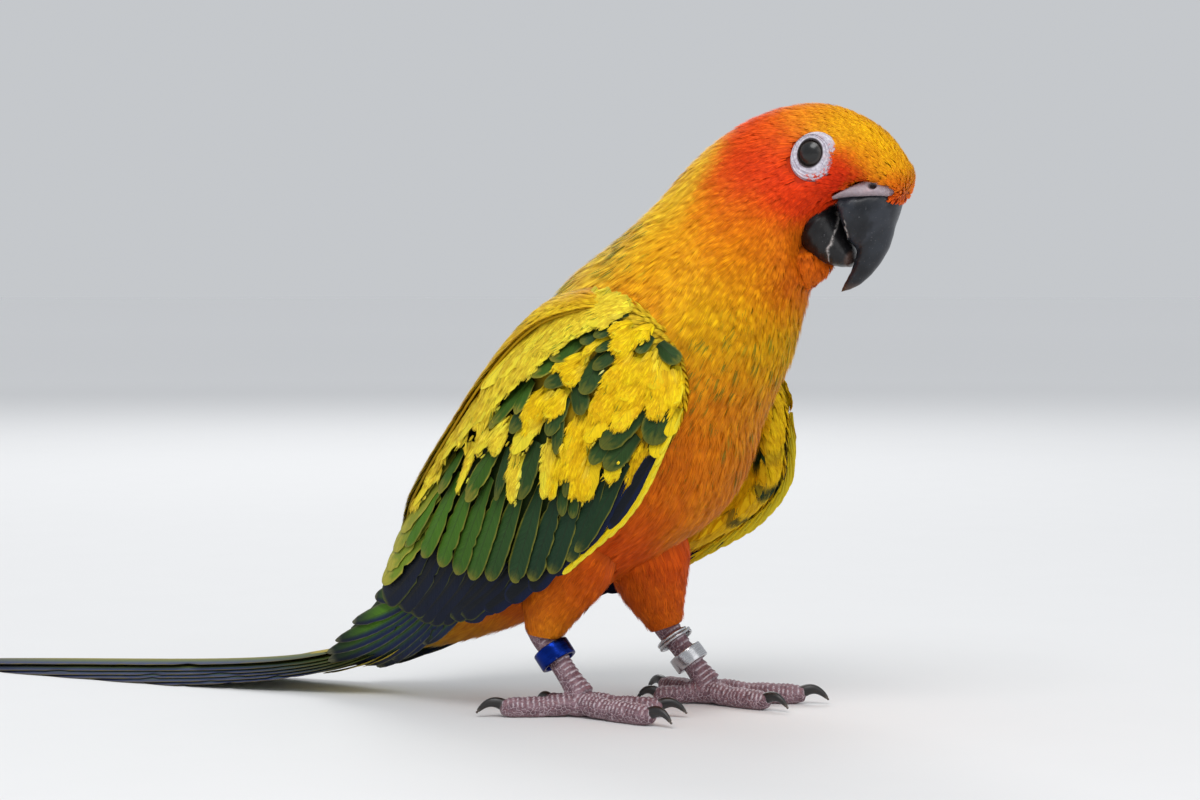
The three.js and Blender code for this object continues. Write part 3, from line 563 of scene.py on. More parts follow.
def trunk_ground():
    ks = concatenate([linspace(0.0, 10.0, 170), linspace(10.0, 16.0, 190)[1:],
                      linspace(16.0, 16.98, 28)[1:]])
    ts = linspace(-90, 270, 129)
    k, t = lattice(ks, ts)
    grid = trunk_skin(k, t)
    along, out = frame_of(grid)
    middle = trunk_axis(k) - 4 * ease(15, 16.5, k)[..., None] * FORWARD
    flip = np.sign((out * (grid - middle)).sum(-1, keepdims=True))
    out = out * np.where(flip == 0, 1, flip)
    # Both ends of the angle are the same line of the belly, so they share their directions.
    out[:, 0] = out[:, -1] = unit(out[:, 0] + out[:, -1])
    lie = -along
    forward, _, up = to_head(grid)
    ahead, above = forward - EYE_MIDDLE, up - EYE_MIDDLE
    angle = np.arctan2(above, ahead)
    eye = hypot(ahead, above) / (ring_reach(angle) - 0.3 + 1.1 * clip(cos(angle), 0, 1))
    bare = ease(0.97, 1.05, eye) + (k < 12)
    # Nothing grows where the bill and the cere stand.
    moved = np.linalg.norm(grid - trunk_plain(k, t), axis=-1) * (up > -19)
    downward = unit(0.25 * FORWARD - UPWARD)
    hang = (ease(18.0, 19.5, forward) * ease(0.6, -1.8, up))[..., None]
    lie = unit(mix(lie, downward + 0 * lie, hang))
    grows = clip(bare, 0, 1) * ease(1.6, 0.7, moved)
    region = np.select(
        [k > 13.2, k > 11.3, k > 8.6, k < 2.6, sin(deg(t)) > 0.25],
        [REGION["face"], REGION["head"], REGION["neck"], REGION["belly"], REGION["back"]],
        REGION["breast"])
    return {
        "grid": grid, "lie": lie, "out": out, "region": region, "cover": grows,
        "long": feather_length(k, t), "deep": coat_depth(k)[..., 0],
        "unwrap": vec((t + 90) / 360, k / 21, 0 * k), "fleck": fleck_amount(grid),
        "tone": body_tone(grid),
    }


ground = trunk_ground()
print("trunk ground", ground["grid"].shape)


# %% [markdown]
# The thighs are short feathered tubes from the flank down to the ankle. Their feathers point down
# the leg and end in a loose fringe over the bare shank.

# %% Growing ground of the thighs
LEGS = {
    "right": {"side": -1, "hip": [1, -12.5, 39], "ankle": [-7.8, -14.4, 17.8], "palm": [2.4, -15.2, 4.6]},
    "left": {"side": 1, "hip": [7.5, 12.2, 40], "ankle": [9.6, 14.4, 17.8], "palm": [20.0, 15.6, 4.6]},
}


def tube_rings(path, radii, turn):
    """Rings of points round a path, each square to it, and the outward directions there."""
    d = unit(np.gradient(path, axis=0))
    up = np.where(abs(d[:, 2:3]) > 0.75, array([0.0, 1.0, 0.0]), array([0.0, 0.0, 1.0]))
    u = unit(np.cross(up, d))
    v = np.cross(d, u)
    ring = u[:, None] * cos(turn)[None, :, None] + v[:, None] * sin(turn)[None, :, None]
    return path[:, None] + ring * radii[:, None, None], ring


def thigh_ground(leg, number):
    hip, ankle = array(leg["hip"], float), array(leg["ankle"], float)
    end = ankle + array([0.7, 0, -0.6])
    t = linspace(0, 1.0, 40)
    path = mix(hip, end, t[:, None])
    path = path + vec(-1.6 * sin(pi * t), -leg["side"] * 3.6 * (1 - t) ** 2, 0 * t)
    radii = curve([[0, 10.2], [0.25, 10.0], [0.5, 8.7], [0.72, 6.8], [0.88, 5.0], [1, 3.9]])(t)[:, 0]
    depth = mix(1.8, 1.0, t)
    angle = linspace(0, 1, 49)
    grid, ring = tube_rings(path, radii - depth, 2 * pi * angle)
    t2, angle2 = lattice(t, angle)
    return {
        "grid": grid, "lie": frame_of(grid)[0], "out": ring, "cover": 1,
        "region": REGION["thighs"], "long": mix(8.0, 5.0, t2), "deep": mix(1.8, 1.2, t2), "fleck": 0,
        "tone": body_tone(grid),
        "unwrap": vec(angle2 * 0.45 + 0.5 * number, 0.82 + 0.16 * t2, 0 * t2),
    }


grounds = [ground] + [thigh_ground(leg, i) for i, leg in enumerate(LEGS.values())]


# %% [markdown]
# All the growing ground becomes one mesh. It is used twice: as the visible skin under the coat, with
# its open line closed, and as the surface that the feathers are sown on.

# %% One skin
GROUND_VALUES = ("lie", "out", "region", "cover", "long", "deep", "unwrap", "fleck", "tone")


def ground_mesh(name, parts):
    points, faces, values, start = [], [], {key: [] for key in GROUND_VALUES}, 0
    for part in parts:
        rows, across = part["grid"].shape[:2]
        faces += grid_faces(rows, across, start)
        flat = {}
        for key, data in part.items():
            data = data if np.ndim(data) == 3 else np.broadcast_to(data, (rows, across))
            flat[key] = array(data, float).reshape((-1,) + data.shape[2:])
        points.append(flat["grid"])
        for key in values:
            values[key].append(flat[key])
        # Close both ends with a fan round their middle, where nothing grows.
        for row, turn in ((0, False), (rows - 1, True)):
            first = row * across
            middle = start + rows * across + turn
            points.append(part["grid"][row].mean(axis=0, keepdims=True))
            for a in range(start + first, start + first + across - 1):
                faces.append((a, a + 1, middle) if turn else (a + 1, a, middle))
            for key in values:
                values[key].append(flat[key][first:first + 1] * (key != "cover"))
        start += rows * across + 2
    merged = {key: concatenate(data) for key, data in values.items()}
    return make_mesh(name, concatenate(points), faces, merged)


sowing = ground_mesh("sowing_ground", grounds)

# %% [markdown]
# The finish of a small feather: its own tone, a root painted darker as shade, a paler worn tip, and
# fine lines along its length where the barbs part. On the mantle a streak of olive runs down the middle
# of some feathers. The same finish serves the skin below, where there are no barbs to draw and the root's
# painted shade darkens it all over.


# %% Plumage finish
OLIVE = (0.1, 0.13, 0.012, 1)


def plumage_nodes(g):
    tone = g.tint("tone")
    along, luck, strand, fleck = g.number("along", "luck", "strand", "fleck")
    patch = g.noise(g.place(), 240.0, 2.0)
    light = (strand - 0.5) * 0.32 + (luck - 0.5) * 0.16 + (patch - 0.5) * 0.26 + 1.0
    # Painted shade: a feather darkens towards its root, where its neighbours cover it.
    root = along.soft_step(0.0, 0.6) * 0.24 + 0.76
    shade = light * root
    drift = (strand * 0.5 + luck * 0.3 + patch * 0.9 - 0.45).soft_step(0.0, 0.9)
    warm = g.blend(tone, (1.0, 0.52, 0.4, 1), 0.46 - drift * 0.42, "MULTIPLY")
    chosen = (luck - 1.0 + fleck * 0.9).soft_step(0.0, 0.1) * strand.soft_step(0.1, 0.3)
    single = (strand - 1.0 + fleck * 0.5).soft_step(0.0, 0.02) * along.soft_step(0.3, 0.4)
    streak = (chosen + single).soft_step(0.0, 1.0) * along.soft_step(0.1, 0.4)
    marked = g.blend(warm, OLIVE, streak * 0.85)
    tip = along.soft_step(0.8, 1.0)
    worn = g.blend(marked, (1.0, 0.86, 0.45, 1), tip * 0.07)
    return {
        "Base Color": g.blend(worn, g.grey(shade), 1.0, "MULTIPLY"),
        "Roughness": strand * 0.2 + 0.5,
    }


plumage = material("plumage", plumage_nodes, Specular_IOR_Level=0.08)

# %% [markdown]
# A small feather is a tuft of loose barbs that leave one quill. Each barb is a thin strip that
# narrows to a point. Three patterns are enough, because turning, size and colour change from one to
# the next.


# %% Patterns of the small feathers
def feather_pattern(name, barbs, spread, seed):
    """A tuft one unit long and one wide, made of loose barbs."""
    random = np.random.default_rng(seed)
    points, faces, strand, camber = [], [], [], []
    for j in range(barbs):
        a = (j + 0.5) / barbs - 0.5 + random.uniform(-0.3, 0.3) / barbs
        reach = 1.0 - 0.8 * a * a - random.uniform(0, 0.24)
        start, bend = random.uniform(0, 0.14), random.uniform(-0.07, 0.07)
        lift, own, first = random.uniform(-0.11, 0.11), random.random(), len(points)
        for share, half in ((0, 0.8), (0.5, 0.75), (1, 0)):
            along = start + (reach - start) * share
            middle = a * (0.4 + spread * along) + bend * along * along
            for turn in ((-1, 1) if half else (0,)):
                points.append((middle + turn * half / barbs, along))
                strand.append(own)
                camber.append(0.1 * (1 - 4 * a * a) + lift * along)
        faces += [(first, first + 1, first + 3, first + 2), (first + 2, first + 3, first + 4)]
    across, along = array(points).T
    mesh = bpy.data.meshes.new(name)
    mesh.from_pydata([(0.0, 0.0, 0.0)] * len(points), [], faces)
    add_values(mesh, {"across": across, "along": along, "camber": camber, "strand": strand})
    mesh.polygons.foreach_set("use_smooth", [True] * len(mesh.polygons))
    return bpy.data.objects.new(name, mesh)


def pattern_set(name, barbs, spread):
    bag = bpy.data.collections.new(name)
    for i in range(3):
        bag.objects.link(feather_pattern(name + "_" + str(i), barbs, spread, 20 + i))
    print(name, "of", barbs, "barbs,", 3 * barbs, "triangles")
    return bag


soft_patterns = pattern_set("soft_feathers", 9, 0.75)
fine_patterns = pattern_set("fine_feathers", 7, 0.6)

# %% [markdown]
# Geometry Nodes sow the feathers. Points are scattered on the growing ground so that none is too
# near another, a pattern is placed on each, and then every point of every feather is moved: along
# the lie of the coat, across it, and down onto the skin, with its tip lifted to the coat's outside.
# Last, each feather gets its small patch on the unwrap, and all becomes one plain mesh.


# %% The sowing tree
INPUTS = {"Ground": "Object", "Patterns": "Collection", "Region": "Float", "Spacing": "Float",
          "Width": "Float", "Stray": "Float", "Seed": "Int", "Finish": "Material"}


def sowing_tree():
    tree = bpy.data.node_groups.new("sow_feathers", "GeometryNodeTree")
    for name, kind in dict(Geometry="Geometry", **INPUTS).items():
        tree.interface.new_socket(name=name, in_out="INPUT", socket_type="NodeSocket" + kind)
    tree.interface.new_socket(name="Geometry", in_out="OUTPUT", socket_type="NodeSocketGeometry")
    g = Graph(tree)
    group = g.node("NodeGroupInput")
    given = {name: group.other(name) for name in INPUTS}

    def geo(kind, settings, sockets, out=0):
        return g.node("GeometryNode" + kind, settings, sockets, out)

    def named(name, kind="FLOAT"):
        return geo("InputNamedAttribute", {"data_type": kind}, {"Name": name})

    def store(geometry, name, value, kind="FLOAT", domain="POINT"):
        return geo("StoreNamedAttribute", {"data_type": kind, "domain": domain},
                   {"Geometry": geometry, "Name": name, "Value": value})

    def chance(low, high, offset):
        return g.node("FunctionNodeRandomValue", {"data_type": "FLOAT"},
                      {2: low, 3: high, "Seed": given["Seed"] + offset}, out=1)

    def on_ground(value, place):
        return geo("SampleNearestSurface", {"data_type": "FLOAT_VECTOR"},
                   {"Mesh": ground, "Value": value, "Sample Position": place})

    ground = geo("ObjectInfo", {"transform_space": "ORIGINAL"}, {"Object": given["Ground"]}, "Geometry")
    chosen = named("region").maths("COMPARE", given["Region"], 0.35)
    points = geo(
        "DistributePointsOnFaces", {"distribute_method": "POISSON"},
        {"Mesh": ground, "Selection": chosen, "Distance Min": given["Spacing"],
         "Density Max": 6.0e6, "Density Factor": named("cover"), "Seed": given["Seed"]}, "Points")
    where = geo("InputPosition", {}, {})
    points = store(points, "root", where, "FLOAT_VECTOR")
    points = store(points, "luck", chance(0.0, 1.0, 3))
    points = store(points, "turn", chance(-1.0, 1.0, 5))
    points = store(points, "grow", chance(0.82, 1.12, 7))
    pick = g.node("FunctionNodeRandomValue", {"data_type": "INT"},
                  {4: 0, 5: 2, "Seed": given["Seed"] + 9}, out=2)
    patterns = geo("CollectionInfo", {"transform_space": "ORIGINAL"},
                   {"Collection": given["Patterns"], "Separate Children": True, "Reset Children": True})
    placed = geo("InstanceOnPoints", {}, {"Points": points, "Instance": patterns, "Pick Instance": True,
                                          "Instance Index": pick})
    feathers = geo("RealizeInstances", {}, {"Geometry": placed})

    root, out, lie = (named(name, "FLOAT_VECTOR") for name in ("root", "out", "lie"))
    along, across, camber = named("along"), named("across"), named("camber")
    side = lie.maths("CROSS_PRODUCT", out)
    flow = g.noise(root, 120.0, 1.0) - 0.5
    stray = named("turn") * given["Stray"] + flow * 0.9
    way = (lie + side * stray).maths("NORMALIZE")
    square = way.maths("CROSS_PRODUCT", out)
    long = named("long") * named("grow") * MM
    wide = long * given["Width"]
    reach = root + way * (along * long) + square * (across * wide)
    # The feather lies on the skin below it, and its tip rises to the coat's outside.
    rise = (along * 1.25 - along * along * 0.25) * (named("luck") * 0.3 + 0.74)
    height = named("deep") * MM * rise + camber * wide * 0.5 + 0.00012
    lying = on_ground(where, reach) + on_ground(out, reach).maths("NORMALIZE") * height
    feathers = geo("SetPosition", {}, {"Geometry": feathers, "Position": lying})
    patch = named("unwrap", "FLOAT_VECTOR") + g.xyz(across * 0.003, along * 0.003)
    feathers = store(feathers, "OFBake", patch, "FLOAT2", "CORNER")
    feathers = geo("SetMaterial", {}, {"Geometry": feathers, "Material": given["Finish"]})
    g.node("NodeGroupOutput", {}, {"Geometry": feathers})
    print("sowing tree of", len(tree.nodes), "nodes")
    return tree


sow = sowing_tree()

# %% [markdown]
# The tree runs on an empty mesh that is thrown away: its inputs are set, the result is kept as one
# plain mesh, and the tree can serve the next region. Bands of the body differ in how dense, broad
# and untidy their feathers are, so each band is a coat of its own.


# %% Sow the body
def grow_coat(name, ground, region, spacing, width, stray, seed, patterns=soft_patterns):
    """Sow one region of a ground with feathers, and keep them as a plain mesh."""
    start = put(name + "_start", bpy.data.meshes.new(name + "_start"))
    step = start.modifiers.new("grow", "NODES")
    step.node_group = sow
    given = {"Ground": ground, "Patterns": patterns, "Region": float(REGION[region]),
             "Spacing": spacing * MM, "Width": width, "Stray": stray, "Seed": seed, "Finish": plumage}
    for socket in sow.interface.items_tree:
        if socket.name in given:
            step[socket.identifier] = given[socket.name]
    mesh = as_built(start, name)
    print(name, sum(len(p.vertices) - 2 for p in mesh.polygons), "triangles")
    return put(name, mesh)


COATS = {
    # name: spacing in mm, width to length, stray, patterns
    "face": (0.42, 0.42, 0.22, fine_patterns), "head": (0.62, 0.38, 0.18, soft_patterns),
    "neck": (0.78, 0.36, 0.16, soft_patterns), "breast": (0.92, 0.36, 0.15, soft_patterns),
    "back": (1.1, 0.38, 0.14, soft_patterns), "belly": (1.1, 0.4, 0.18, soft_patterns),
    "thighs": (0.85, 0.42, 0.22, soft_patterns),
}
coats = {}
for number, (name, (spacing, width, stray, patterns)) in enumerate(COATS.items()):
    coats[name] = grow_coat("coat_" + name, sowing, name, spacing, width, stray, number + 1, patterns)


# %% [markdown]
# Between the feathers the bird's skin would show, so a copy of the growing ground stays under them.
# Where the grid of points was cut open its two edges are merged, which closes it, and it wears the
# finish of the plumage because the down that covers real skin has the same tones.


# %% The visible skin
def closed_skin(ground_object, name):
    """A copy of a growing ground with its open line sewn up."""
    mesh = ground_object.data.copy()
    shell = bmesh.new()
    shell.from_mesh(mesh)
    bmesh.ops.remove_doubles(shell, verts=shell.verts, dist=0.01 * MM)
    bmesh.ops.recalc_face_normals(shell, faces=shell.faces)
    shell.to_mesh(mesh)
    shell.free()
    # The plumage finish paints these shells darker all over as shade, as at a feather's root.
    mesh.materials.append(plumage)
    print(name, len(mesh.polygons), "faces")
    return put(name, mesh)


skin = closed_skin(sowing, "skin")
bpy.data.objects.remove(sowing)

# %% [markdown]
# A folded wing is a curved sheet seen from the side: s runs back from the wrist to the tip, and m up
# across it. The sheet is the outer one of two shapes, a long bowl and the bird's own side with room
# for the coat, so the wing hugs the body. The far wing hangs a little lower, as it does in life.

# %% The sheet of a wing
WING_AT = array([34.2, 74.5])
WING_SLOPE = deg(33.4)
COAT_ROOM = 3.2
wing_tube = curve([
    # s, middle m, half width of the pair, upper radius, lower radius
    [-6, 8, 22, 24, 22], [0, 4, 27, 31, 26], [6, 2, 30.2, 35, 30], [14, 1, 32.4, 37.5, 33],
    [25, 0, 33.2, 38.5, 35], [40, 0, 32.2, 36.5, 35], [55, 0, 29.4, 31.5, 33], [70, 0, 24.8, 26.2, 29],
    [84, 0, 19.2, 20, 23], [95, 0, 14.8, 13.6, 16], [105, 0, 11.8, 9, 11], [114, 1, 10.4, 6.6, 8],
    [124, 2, 9.4, 4.8, 6],
])
wing_edges = curve([
    # s, lower m, upper m
    [-2.2, 7.6, 12.4], [0, 0.6, 20.2], [5, -4.9, 27.5], [14, -9.8, 32], [24, -14.2, 35],
    [35, -16.4, 34.8], [45, -16.5, 32.6], [55, -15.8, 29.6], [66, -13.6, 25.8], [79, -10.6, 20.2],
    [91, -8.2, 14.2], [99, -6.6, 9.4], [108, -3.4, 7], [115, -0.6, 5.4], [120.5, 1.9, 3.3],
])
far_lead = curve([[-8, 0.9], [5, 1.0], [14, 1.5], [24, 1.3], [36, 1.0], [60, 0.5], [85, 0.15], [110, 0]])


def wing_plane(s, m):
    return (WING_AT[0] - s * math.cos(WING_SLOPE) - m * math.sin(WING_SLOPE),
            WING_AT[1] - s * math.sin(WING_SLOPE) + m * math.cos(WING_SLOPE))


# %% The sheet over the body
def trunk_side(x, z):
    """How far out the side of the trunk stands at a place seen from the side."""
    cx, cz, tilt, up, low, half, narrow = trunk_at(linspace(0, 12, 241)).T
    tilt = deg(tilt)
    dx, dz = x[..., None] - cx, z[..., None] - cz
    along = dx * cos(tilt) + dz * sin(tilt)
    n = dz * cos(tilt) - dx * sin(tilt)
    crossed = along[..., :-1] * along[..., 1:] <= 0
    share = along[..., :-1] / (along[..., :-1] - along[..., 1:] + 1e-9)
    n = mix(n[..., :-1], n[..., 1:], share)
    q = 1 - (n / np.where(n > 0, up[:-1], low[:-1])) ** 2
    side = half[:-1] * (1 - narrow[:-1] * n / up[:-1]) * np.sqrt(clip(q, 0, None))
    return np.where(crossed, side, 0).max(axis=-1)


SHEET_S = np.arange(-8, 127, 1.0)
SHEET_M = np.arange(-28, 45, 1.0)


def sheet_heights():
    s, m = lattice(SHEET_S, SHEET_M)
    middle, half, up, low = np.moveaxis(wing_tube(s), -1, 0)
    q = 1 - ((m - middle) / np.where(m > middle, up, low)) ** 2
    free = np.where(q > 0.02, half * np.sqrt(clip(q, 0.02, None)),
                    half * 0.141 * exp((q - 0.02) * 2))
    on = trunk_side(*wing_plane(s, m)) + COAT_ROOM
    return 0.5 * (free + on + hypot(free - on, 1.5))


sheet_grid = sheet_heights()


def sheet_point(side, s, m):
    s, m = np.broadcast_arrays(np.asarray(s, float), np.asarray(m, float))
    u = clip(s - SHEET_S[0], 0, len(SHEET_S) - 1.001)
    v = clip(m - SHEET_M[0], 0, len(SHEET_M) - 1.001)
    i, j = u.astype(int), v.astype(int)
    low = mix(sheet_grid[i, j], sheet_grid[i + 1, j], u - i)
    high = mix(sheet_grid[i, j + 1], sheet_grid[i + 1, j + 1], u - i)
    x, z = wing_plane(s, m)
    hang = far_lead(s)[..., 0] * clip((24 - m) / 34, 0, 1.2) if side > 0 else 0.0
    return vec(x + 3.2 * hang, side * (mix(low, high, v - j) + 2.2 * hang), z - 4.2 * hang)


def wing_point(side, s, m, out):
    """A place on the wing, raised off the sheet by a distance."""
    ds = sheet_point(side, s + 1.5, m) - sheet_point(side, s - 1.5, m)
    dm = sheet_point(side, s, m + 1.5) - sheet_point(side, s, m - 1.5)
    n = unit(np.cross(ds, dm))
    n = n * np.where(n[..., 1:2] * side > 0, 1.0, -1.0)
    return sheet_point(side, s, m) + n * np.asarray(out, float)[..., None]


print("sheet stands", round(float(sheet_grid.max()), 1), "mm out at its widest")

# %% [markdown]
# A large feather has a shaft, two vanes and a rounded tip. Here it is a thin closed blade: a grid of
# points that runs along the shaft and across both vanes, once for the upper face and once for the
# lower, with one rim. Its rim is frayed a little and cut where barbs have parted. The blade carries
# its colours with it: its middle, its edge, and how far along and across it each point lies.

# %% One large feather
SHAFT = array([-1, -0.82, -0.5, -0.2, -0.05, 0.05, 0.2, 0.5, 0.82, 1.0])


class Feathers:
    """Collects blades, and makes one mesh of them at the end."""

    def __init__(self, place):
        self.place = place
        self.parts = []
        self.tops = []

    def lay(self, root, tip, half, out, tone, edge, lean=0.5, bow=0.0, shaft=0.0, round_tip=0.3,
            fray=0.12, rows=18, stem=0.5, camber=0.35, thick=0.16, narrow=0.5):
        """root and tip are places on the surface; tone and edge are colours, or tone a function."""
        root, tip = array(root, float), array(tip, float)
        d = tip - root
        long = math.hypot(*d)
        across = array([-d[1], d[0]]) / long
        body = linspace(0, 1 - round_tip, rows - 6)
        turn = linspace(0, 0.97, 7)[1:] * pi / 2
        l = concatenate([body, 1 - round_tip + round_tip * sin(turn)])
        past = clip((l - 1 + round_tip) / round_tip, 0, 1)
        wide = (stem + (1 - stem) * ease(0, narrow, l)) * np.sqrt(clip(1 - past**2, 0.004, 1))
        l2, a = lattice(l, SHAFT)
        wide2 = np.broadcast_to(wide[:, None], l2.shape)
        rough = rng.uniform(-fray, 0.02, (len(l), 2))
        cut = (rng.random((len(l), 2)) < 0.07) * rng.uniform(0.12, 0.3, (len(l), 2))
        rough = (rough - cut) * ease(0.15, 0.4, l)[:, None]
        edge_in = np.where(a < 0, rough[:, :1], rough[:, 1:]) * clip(abs(a) * 3 - 2, 0, 1)
        reach = (a + shaft * (1 - a * a)) * wide2 * half * (1 + edge_in)
        side = bow * long * 4 * l2 * (1 - l2) + reach
        swept = l2 + abs(a) ** 1.5 * 0.12 * half / long * (1 - past[:, None])
        s = root[0] + d[0] * swept + across[0] * side
        m = root[1] + d[1] * swept + across[1] * side
        ridge = 0.14 * exp(-(a / 0.09) ** 2) * (1 - 0.8 * l2)
        high = mix(*out, l2) - a * lean * wide2 + camber * (1 - a * a) * wide2 + ridge
        top = self.place(s, m, high)
        under = self.place(s, m, high - (thick * (1 - 0.45 * l2) * (1 - (a * a) ** 2) + 0.02))
        # The lower face shares the rim of the upper one.
        n, w = l2.shape
        inner = np.zeros((n, w), bool)
        inner[1:-1, 1:-1] = True
        index = np.arange(n * w).reshape(n, w)
        lower = index.copy()
        lower[inner] = n * w + np.arange(inner.sum())
        quads = [np.stack([i[:-1, :-1], i[:-1, 1:], i[1:, 1:], i[1:, :-1]], axis=-1).reshape(-1, 4)
                 for i in (index, lower)]
        faces = concatenate([quads[0], quads[1][:, ::-1]])
        first = np.cross(top[1, 5] - top[1, 4], top[2, 4] - top[1, 4])
        if first @ (top[1, 4] - under[1, 4]) < 0:
            faces = faces[:, ::-1]

        def both(data):
            return concatenate([data.reshape((n * w,) + data.shape[2:]), data[inner]])

        paint = tone(l2, a, s) if callable(tone) else np.broadcast_to(tone, l2.shape + (3,))
        way = np.broadcast_to(d / long, l2.shape + (2,))
        self.tops.append(concatenate([np.stack([s, m, high], -1), way, paint], -1).reshape(-1, 8))
        count = n * w + inner.sum()
        self.parts.append({
            "points": concatenate([top.reshape(-1, 3), under[inner]]), "faces": faces,
            "rim": ~both(inner), "along": both(l2), "across": both(a), "luck": np.full(count, rng.random()),
            "length": np.full(count, long), "tone": both(opaque(paint)),
            "edge": both(opaque(np.broadcast_to(edge, l2.shape + (3,)))),
        })

    def make(self, name, finish):
        """One mesh; each blade gets a cell of its own on the unwrap."""
        faces, start, cells = [], 0, []
        cols = math.ceil(math.sqrt(len(self.parts)))
        for i, p in enumerate(self.parts):
            faces.append(p["faces"] + start)
            start += len(p["points"])
            corner = array([i % cols, i // cols], float)
            uv = np.stack([p["across"] * 0.42 + 0.5, p["along"] * 0.86 + 0.07], axis=-1)
            cells.append((corner + uv) / cols)
        faces = concatenate(faces)
        whole = {key: concatenate([p[key] for p in self.parts]) for key in self.parts[0] if key != "faces"}
        points, rim = whole.pop("points"), whole.pop("rim")
        made = make_mesh(name, points, faces, whole, material=finish, rim=rim)
        flat = concatenate(cells)[faces.reshape(-1)]
        layer = made.data.uv_layers.new(name="OFBake")
        layer.data.foreach_set("uv", flat.astype(np.float32).ravel())
        print(name, len(self.parts), "feathers")
        return made


# %% [markdown]
# The finish of a large feather draws the barbs: fine lines that leave the shaft and sweep towards
# the tip. The edge has a tone of its own, the shaft shows as a thin line, and the root is in shade.


# %% Finish of the large feathers
def vane_nodes(g):
    tone, edge = g.tint("tone"), g.tint("edge")
    along, across, luck, length = g.number("along", "across", "luck", "length")
    wide = across.maths("ABSOLUTE")
    run = along * length - wide * 3.2
    barbs = g.noise(g.xyz(run * 3.4, across * 1.2, luck * 50.0), 1.0, 2.5, 0.6)
    clump = g.noise(g.xyz(run * 0.7, across * 0.6, luck * 31.0), 1.0, 1.0)
    rim = wide.soft_step(0.76, 0.97)
    tip = along.soft_step(0.93, 0.99)
    worn = (rim + tip - rim * tip) * (clump * 1.2 + 0.2)
    colours = g.blend(tone, edge, worn)
    shaft = (wide * 14.0).soft_step(1.0, 0.25) * (1.0 - along * 0.55)
    colours = g.blend(colours, (0.02, 0.018, 0.01, 1), shaft * 0.55)
    light = (barbs - 0.5) * 0.85 + (clump - 0.5) * 0.3 + (luck - 0.5) * 0.16 + 1.0
    shade = light * (along.soft_step(0.0, 0.5) * 0.3 + 0.7)
    return {
        "Base Color": g.blend(colours, g.grey(shade), 1.0, "MULTIPLY"),
        "Roughness": barbs * 0.25 + 0.42,
        "Normal": g.bump(barbs + clump * 0.6, 0.5, 0.0002),
    }


vane_finish = material("vanes", vane_nodes, Specular_IOR_Level=0.14)

# %% [markdown]
# The colours of the wing. The small coverts are yellow with dark green feathers among them, the
# great coverts green, the flight feathers blue-black with a blue outer edge.

# %% Tones of the wing
LEMON = array([0.84, 0.68, 0.03])
YELLOW = array([0.84, 0.6, 0.006])
GOLD = array([0.82, 0.55, 0.005])
MOSS = array([0.024, 0.058, 0.013])
LEAF = array([0.058, 0.15, 0.008])
TEAL = array([0.016, 0.046, 0.018])
INK = array([0.006, 0.008, 0.012])
NAVY = array([0.007, 0.014, 0.05])
SEDGE = array([0.2, 0.19, 0.022])
KHAKI = array([0.3, 0.27, 0.03])
GREY = array([0.2, 0.22, 0.2])


def tones(*stops):
    """A colour that changes along or across: stops are (place, colour)."""
    table = curve([[place, *tone] for place, tone in stops])
    return lambda value: clip(table(value), 0, 1)


def flight(middle, outer, tip, tip_from=0.8):
    """A dark feather with a coloured outer vane (across < 0) and its own tip."""
    def paint(l, a, s):
        base = mix(middle, outer, ease(0.05, -0.35, a)[..., None])
        return mix(base, tip, ease(tip_from, 1.0, l)[..., None])
    return paint


def covert(centre, fringe, start=0.72, ragged=0.1):
    """A covert whose tip has another tone from a certain place on."""
    def paint(l, a, s):
        wave = ragged * sin(a * 9 + s) * 0.5
        return mix(centre, fringe, ease(start, start + 0.16, l + wave - 0.08 * a * a)[..., None])
    return paint


# %% [markdown]
# The feathers of the folded wing lie in tiers, like tiles. Each tier is a run of feathers between a
# line of roots and a line of tips, and the next tier lies over its roots.

# %% Flight feathers and great coverts
LAYER = -1.0


def row(count, root, tip, half, out, tone, edge, stray=0.5, **shape):
    """A run of feathers; tone and edge may change along the run."""
    return dict(count=count, root=curve(root), tip=curve(tip), half=half, out=out, tone=tone, edge=edge,
                stray=stray, shape=shape)


